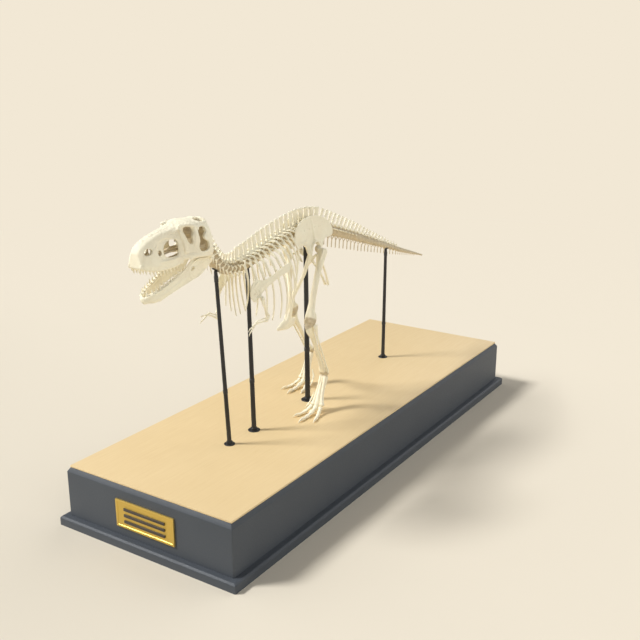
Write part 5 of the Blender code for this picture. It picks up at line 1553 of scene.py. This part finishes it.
def buildFemur(side):
    sign = handed[side]
    socket = Vector((hip.x * sign, hip.y, hip.z))
    f = LimbFrame(Vector((legs["femurTopX"] * sign, hip.y, hip.z + 0.015)), kneeOf(side))
    bm = bmesh.new()
    f.bar(bm,
        [(.012, .000, .000, .060, .062), (.05, .0, .0, .092, .086), (.11, .004, .0, .088, .084),
         (.20, .002, .008, .074, .076), (.34, .0, .020, .066, .072), (.52, .0, .026, .064, .070),
         (.68, .0, .020, .070, .070), (.80, .0, .008, .086, .076), (.89, .0, -.004, .106, .090),
         (.95, .0, -.014, .112, .092), (.985, .0, -.016, .100, .074)], 20)
    # head and neck, turned in to the socket
    start = f.at(.050)
    limb(bm, [start, start.lerp(socket, .45) + zAxis * .004, socket + xAxis * (sign * .030)],
         [(.074, .078), (.062, .064), (.072, .074)], yAxis, 16)
    blob(bm, socket + xAxis * (sign * .022), (.078, .088, .088))
    # the two knobs at the top, and the ridge halfway down the back
    f.bar(bm,
        [(.006, .050, -.010, .034, .060), (.050, .066, -.008, .034, .062), (.12, .056, -.004, .028, .050)])
    f.bar(bm, [(.016, .048, .074, .026, .022), (.060, .052, .082, .030, .028),
               (.12, .040, .076, .026, .030), (.19, .020, .060, .020, .024)])
    f.bar(bm, [(.36, -.022, -.040, .014, .020), (.43, -.026, -.062, .018, .026),
               (.49, -.024, -.052, .016, .020), (.54, -.018, -.034, .010, .012)], 10)
    # the two rollers of the knee with a crest outside
    for out in (-1, 1):
        f.bar(bm, [(.90, out * .066, -.074, .032, .034), (.945, out * .068, -.104, .040, .046),
                   (.985, out * .064, -.070, .046, .056), (.998, out * .058, -.014, .048, .056),
                   (.965, out * .058, .040, .042, .040)], 12)
    f.bar(bm, [(.86, .086, -.060, .018, .026), (.92, .108, -.068, .020, .034),
               (.97, .104, -.050, .022, .040)], 10)
    def groove(share, out, ahead):
        deep = easeIn(.84, .94, share) * (1 - easeIn(.0, .040, abs(out)))
        return f.ahead * -(.020 * deep * easeIn(.02, .06, ahead))

    def tanAt(spot):  # the knee's end and the head
        return max(ends(spot), 1 - easeIn(.085, .105, (spot - socket).length))

    ends = jointTan(f, bottom=.945)
    boneFrom(bm, f"{side}Femur", [f"femur_{side}"], legs["cell"], move=boneGrain(f, .0022, groove), tan=tanAt)


def buildShin(side):
    sign = handed[side]
    knee = kneeOf(side)
    ankle = Vector((legs["ankleX"] * sign, *legs[side][0]))
    f = LimbFrame(knee, ankle)
    bm = bmesh.new()
    f.bar(bm,
        [(.022, .0, -.004, .098, .084), (.045, .0, .0, .104, .096), (.09, .0, .010, .092, .100),
         (.15, .0, .018, .078, .088), (.24, .0, .010, .062, .066), (.38, .0, .0, .054, .054),
         (.58, .0, .0, .052, .048), (.74, .0, .0, .060, .047), (.86, .0, .0, .080, .050),
         (.94, .0, -.002, .090, .050), (.975, .0, .0, .084, .046)], 20)
    # the tall crest in front of the knee
    f.bar(bm,
        [(.012, .012, .082, .030, .040), (.045, .020, .120, .028, .052), (.10, .022, .122, .024, .050),
         (.16, .014, .096, .022, .042), (.24, .004, .058, .018, .030)], 12)
    for out, deep in ((-.052, .052), (.054, .044)):
        f.bar(bm, [(.014, out, -.030, .042, deep), (.05, out, -.052, .040, .042),
                   (.11, out * .8, -.046, .028, .028)], 12)
    # crest beside the splint bone
    f.bar(bm,
        [(.17, .062, .010, .014, .016), (.24, .066, .010, .018, .018), (.32, .052, .006, .012, .014)], 10)
    # ankle roller with the tongue that rises in front of the shin
    f.bar(bm, [(.80, .012, .040, .026, .008), (.88, .010, .046, .052, .010), (.94, .004, .048, .070, .014),
               (.975, .0, .036, .080, .026)], 12)
    roll = [f.at(.988, out, .004) for out in (-.098, -.056, 0, .056, .100)]
    limb(bm, roll, [(.040, .042), (.056, .052), (.044, .040), (.056, .052), (.040, .042)], f.ahead, 16)
    f.bar(bm, [(.90, -.080, -.006, .022, .036), (.965, -.092, -.004, .022, .044)], 10)
    f.bar(bm, [(.90, .082, -.010, .022, .034), (.965, .096, -.008, .020, .042)], 10)
    boneFrom(bm, f"{side}Tibia", [f"tibia_{side}"], legs["cell"],
             move=boneGrain(f, .0020), tan=jointTan(f, .030, .960))

    high, low = legs["fibulaOut"]
    g = LimbFrame(knee + f.out * high, ankle + f.out * low)
    bm = bmesh.new()
    g.bar(bm,
        [(.030, .0, -.012, .026, .060), (.06, .0, -.008, .032, .070), (.12, .0, .0, .028, .052),
         (.20, -.006, .010, .022, .034), (.30, -.010, .012, .020, .026), (.55, -.008, .004, .017, .021),
         (.80, -.004, .0, .018, .021), (.93, .0, .0, .021, .026), (.965, .0, .0, .022, .027)], 12)
    g.bar(bm,
        [(.24, -.004, .030, .010, .014), (.29, -.006, .038, .012, .016), (.34, -.008, .030, .008, .010)], 8)
    boneFrom(bm, f"{side}Fibula", [f"fibula_{side}"], .0065, 3, move=boneGrain(g, .0014))


def buildMetatarsus(side):
    sign = handed[side]
    ankle = Vector((legs["ankleX"] * sign, *legs[side][0]))
    joint = Vector((legs["footX"] * sign, *legs[side][1]))
    f = LimbFrame(ankle, joint)
    bm = bmesh.new()
    # cap of small ankle bones, then the three long foot bones; the middle one is pinched above
    f.bar(bm, [(.065, -.045, -.004, .052, .050), (.095, -.045, -.004, .054, .052)], 14)
    f.bar(bm, [(.065, .048, -.004, .050, .048), (.095, .048, -.004, .052, .050)], 14)
    f.bar(bm,
        [(.10, -.054, .000, .048, .058), (.18, -.055, .002, .042, .054), (.45, -.060, .004, .034, .044),
         (.72, -.078, .004, .036, .044), (.88, -.098, .002, .042, .050),
         (.965, -.108, .000, .042, .046)], 14)
    f.bar(bm,
        [(.10, .056, -.002, .046, .056), (.18, .057, .000, .040, .052), (.45, .062, .002, .033, .042),
         (.72, .080, .002, .034, .042), (.88, .100, .000, .040, .048), (.955, .110, -.002, .040, .044)], 14)
    f.bar(bm,
        [(.11, .0, .012, .018, .040), (.25, .0, .018, .018, .036), (.45, .0, .024, .028, .034),
         (.65, .0, .026, .042, .040), (.84, .0, .020, .050, .048), (.935, .0, .014, .052, .052),
         (.995, .0, .010, .048, .048)], 14)
    for out, end in ((-.108, .962), (.0, .985), (.110, .952)):  # rollers for the toes
        middle = f.at(end, out, .004)
        limb(bm, [middle - f.out * .040, middle - f.out * .018, middle, middle + f.out * .018,
                  middle + f.out * .040],
             [(.036, .036), (.050, .050), (.041, .041), (.050, .050), (.036, .036)], f.ahead, 14)
    # splint at the back outside
    f.bar(bm,
        [(.10, .085, -.040, .014, .016), (.28, .086, -.042, .010, .011), (.44, .082, -.038, .006, .006)], 8)
    boneFrom(bm, f"{side}FootBones", [f"metatarsus_{side}"], .0068, 2,
             move=boneGrain(f, .0016), tan=jointTan(f, .085))


def liftOf(run, out):  # the upper side of a toe or finger
    lift = run.cross(out).normalized()
    return -lift if lift.z < 0 else lift


def onSole(obj):  # nothing of the foot sinks into the board
    for vert in obj.data.vertices:
        vert.co.z = max(vert.co.z, sole)
    return obj


def phalanx(bm, start, end, radius, out, last):  # a waisted bone with a socket and a double roller
    run = (end - start).normalized()
    lift = liftOf(run, out)
    length = (end - start).length
    def at(share, up=0.0, across=0.0):
        return start + run * (share * length) + lift * up + out * across
    near, far = radius, radius * 0.90
    bars(bm, at,
        [(.03, 0, 0, near * .90, near * .90), (.12, 0, 0, near, near * .98),
         (.38, 0, 0, near * .70, near * .70), (.62, 0, 0, near * .66, near * .62),
         (.86, 0, 0, far * .88, far * .74), (.93, 0, 0, far * .80, far * .66)], out, 14)
    blob(bm, at(.07, near * .45), (near * .5, near * .4, near * .45))
    if not last:
        for across in (-.52, .52):
            bars(bm, at,
                [(.80, 0, across * far, far * .40, far * .70), (.92, 0, across * far, far * .42, far * .86),
                 (.985, 0, across * far, far * .36, far * .56)], out, 10)


def claw(bm, start, end, radius, out, bow):  # a thick curved point with a heel below
    run = (end - start).normalized()
    lift = liftOf(run, out)
    path, sizes = [], []
    for t, w, d in ((.02, .82, .90), (.14, .92, 1.02), (.32, .74, .86), (.54, .54, .62), (.76, .34, .38),
                    (.92, .18, .20), (1.0, .07, .08)):
        path.append(start.lerp(end, t) + lift * (bow * math.sin(math.pi * t ** .8)))
        sizes.append((radius * w * .82, radius * d))
    limb(bm, path, sizes, out, 14)
    heel = start.lerp(end, .16) - lift * (radius * .55)
    blob(bm, heel, (radius * .55, radius * .50, radius * .40))


def buildToes(side):
    sign = handed[side]
    joint = Vector((legs["footX"] * sign, *legs[side][1]))
    bm = bmesh.new()
    for shift, splay, length, count, radius in legs["toes"].values():
        turn = math.radians(splay) * sign
        heading = Vector((math.sin(turn), -math.cos(turn), 0))
        out = Vector((heading.y, -heading.x, 0))
        root = joint + Vector((shift * sign, -0.040, -0.020))

        def spotAt(t, size):
            height = mixed(root.z, sole + .80 * size, math.sin(min(1.0, t * 1.9) * math.pi / 2))
            spot = root + heading * (length * t)
            return Vector((spot.x, spot.y, height))

        bones = count - 1
        spots, sizes = [], []
        for k in range(bones + 1):
            t = .70 * (k / bones) ** .92
            sizes.append(radius * (1.04 - .42 * t))
            spots.append(spotAt(t, sizes[-1]))
        for k in range(bones):
            phalanx(bm, spots[k], spots[k + 1], sizes[k], out, False)
        tip = root + heading * (length * .985)
        tip.z = sole + .006
        claw(bm, spots[-1], tip, sizes[-1] * .96, out, .022)
    foot = onSole(fuse(bm, f"{side}Toes", legs["footCell"], 2, 0.0011))
    ready(foot, boneFinish, [f"toe_{name}_{side}" for name in legs["toes"]])

    # the small first toe, with the splint that holds it to the foot
    root = joint + Vector((-0.200 * sign, 0.08, 0.09))
    bm = bmesh.new()
    limb(bm, [root + Vector((.050 * sign, .030, .150)), root + Vector((.030 * sign, .015, .075)), root],
         [(.012, .014), (.016, .018), (.022, .024)], sides=10)
    knuckle = root + Vector((-.026 * sign, -.105, -.118))
    side0 = Vector((1, -.25 * sign, 0)).normalized()
    phalanx(bm, root, knuckle, .026, side0, False)
    claw(bm, knuckle, root + Vector((-.030 * sign, -.205, -.200)), .024, side0, .014)
    toe = onSole(fuse(bm, f"{side}FirstToe", .0042, 2, 0.0006))
    ready(toe, boneFinish, [f"toe_first_{side}"])


# arms

arms = {
    "left": ((.43, -2.86, 4.28), (.50, -2.64, 3.86), (.47, -2.96, 3.81)),
    "right": ((.43, -2.86, 4.28), (.50, -2.97, 3.82), (.47, -3.27, 3.91)),
    "shoulderOut": 0.112, "bladeOut": 0.030, "bladeUp": 0.115, "lean": -0.10, "turn": -0.15,
    "thickness": 0.022, "spread": 0.028, "cell": 0.0052,
    "outline": [(-.05, -.17), (.06, -.06), (.28, .06), (.66, .195), (.88, .245), (.915, .325),
                (.90, .395), (.66, .325), (.26, .185), (.08, .195), (-.04, .235), (-.17, .12),
                (-.22, -.06), (-.14, -.18)],
}


def armPoint(point, side):
    return Vector((point[0] * handed[side], point[1], point[2]))


def buildShoulder(side):
    sign = handed[side]
    shoulder = armPoint(arms[side][0], side)
    place = sidePlane(shoulder.x + arms["bladeOut"] * sign, shoulder.y, shoulder.z + arms["bladeUp"],
                      arms["lean"] * sign, arms["turn"] * sign)
    flat = place.to_3x3() @ zAxis

    def at(x, y, out=0.0):
        return place @ Vector((x, y, sign * out))

    bm = bmesh.new()
    rim = outlinePlate(bm, arms["outline"], arms["thickness"], place)
    limb(bm, rim[::2] + [rim[0]], [(.014, .012)] * (len(rim[::2]) + 1), flat, 10, 1)
    # stout neck of the blade, cup for the arm, seam to the lower plate
    bars(bm, at, [(.02, -.005, 0, .030, .066), (.14, .085, 0, .022, .046), (.34, .165, 0, .016, .034),
                  (.60, .245, 0, .014, .038), (.82, .310, 0, .010, .052)], flat, 14)
    bars(bm, at, [(-.060, -.130, .010, .034, .030), (-.010, -.098, .014, .034, .020),
                  (.045, -.055, .010, .032, .028)], flat, 12)
    bars(bm, at, [(-.15, .130, .004, .010, .014), (-.090, .055, .006, .013, .016),
                  (-.045, -.05, .008, .016, .020)], flat, 10)
    bars(bm, at, [(.02, .195, .002, .018, .022), (-.06, .150, .010, .020, .028),
                  (-.13, .075, .006, .014, .022)], flat, 10)
    bone = fuse(bm, f"{side}Scapula", .0068, 3, 0.0018)
    bm = bmesh.new()
    turned = place @ Matrix.Translation((-.115, -.035, 0))
    outlinePlate(bm, [(.016 * math.cos(a), .016 * math.sin(a)) for a in
                      (math.radians(45 * k) for k in range(8))], .3, turned, 2)
    cut(bone, bm)
    ready(bone, boneFinish, [f"scapula_{side}"])


def buildArm(side):
    sign = handed[side]
    shoulder, elbow, wrist = (armPoint(point, side) for point in arms[side])
    f = LimbFrame(shoulder + xAxis * (arms["shoulderOut"] * sign), elbow)
    bm = bmesh.new()
    f.bar(bm,
        [(.015, -.006, .0, .036, .040), (.06, -.004, .0, .044, .048), (.14, .0, .0, .040, .044),
         (.30, .0, .0, .031, .034), (.52, .0, .002, .026, .027), (.74, .0, .004, .028, .027),
         (.88, .0, .004, .040, .030), (.95, .0, .002, .043, .030)], 14)
    blob(bm, f.at(.035, -.016, -.004), (.042, .040, .034))
    f.bar(bm, [(.10, .012, .030, .018, .024), (.24, .018, .046, .017, .030), (.36, .014, .040, .014, .026),
               (.46, .006, .024, .010, .014)], 12)
    for out in (-.024, .024):
        blob(bm, f.at(.955, out, .004), (.023, .027, .026))
    boneFrom(bm, f"{side}Humerus", [f"humerus_{side}"], arms["cell"], 3, move=boneGrain(f, .0010))

    run = (wrist - elbow).normalized()
    begin = elbow + run * 0.035 + Vector((0, 0, -0.065))
    for bone, shift in (("ulna", -1), ("radius", 1)):
        offset = Vector((0.012 * sign, 0, 1)) * (arms["spread"] * shift)
        g = LimbFrame(begin + offset, wrist + offset * 0.9 + Vector((0, 0, -0.02)))
        bm = bmesh.new()
        if bone == "ulna":
            g.bar(bm,
                [(-.10, .0, .004, .016, .018), (.0, .0, .0, .023, .026), (.10, .0, .0, .024, .025),
                 (.26, .0, -.002, .017, .019), (.5, .0, -.003, .015, .016), (.78, .0, -.002, .016, .016),
                 (.92, .0, .0, .021, .019), (.975, .0, .0, .020, .018)], 12)
            # the hook that grips the upper arm from behind
            limb(bm, [g.at(.10), g.at(-.08), elbow - run * .046 + zAxis * -.040,
                      elbow - run * .050 + zAxis * .004],
                 [(.022, .024), (.020, .026), (.015, .019), (.010, .011)], xAxis, 12)
        else:
            g.bar(bm, [(-.07, .0, .004, .018, .014), (.0, .0, .003, .022, .018), (.07, .0, .0, .020, .018),
                       (.22, .0, .0, .014, .015), (.5, .0, .001, .012, .014), (.78, .0, .0, .014, .014),
                       (.92, .0, .0, .018, .017), (.975, .0, .0, .018, .016)], 12)
        boneFrom(bm, f"{side}{bone.title()}", [f"{bone}_{side}"], .0046, 3, .0007)

    root = wrist + run * 0.012 + Vector((0, 0, -0.02))
    bm = bmesh.new()
    for drift, length, scale in ((.10, .27, .92), (-.32, .31, 1.0)):
        heading = (run + Vector((0.06 * sign, 0, -0.38 + drift))).normalized()
        out = heading.cross(zAxis).normalized()
        blob(bm, root + heading * .006, (.024, .018, .024))
        for lift in (-.016, .016):
            blob(bm, root - run * .006 + zAxis * lift, (.019, .015, .018))
        a, b = root + heading * .015, root + heading * .104
        c = root + heading * (.70 * length)
        phalanx(bm, a, b, .021 * scale, out, False)
        phalanx(bm, b, c, .0185 * scale, out, False)
        claw(bm, c, root + heading * length + Vector((0, 0, -.032)), .018 * scale, out, .014)
    boneFrom(bm, f"{side}Hand", [f"hand_{side}"], .0036, 2, 0.0005)


buildPubes()
for each in handed:
    buildIlium(each)
    buildIschium(each)
    buildFemur(each)
    buildShin(each)
    buildMetatarsus(each)
    buildToes(each)
    buildShoulder(each)
    buildArm(each)
print("hips and limbs ready")
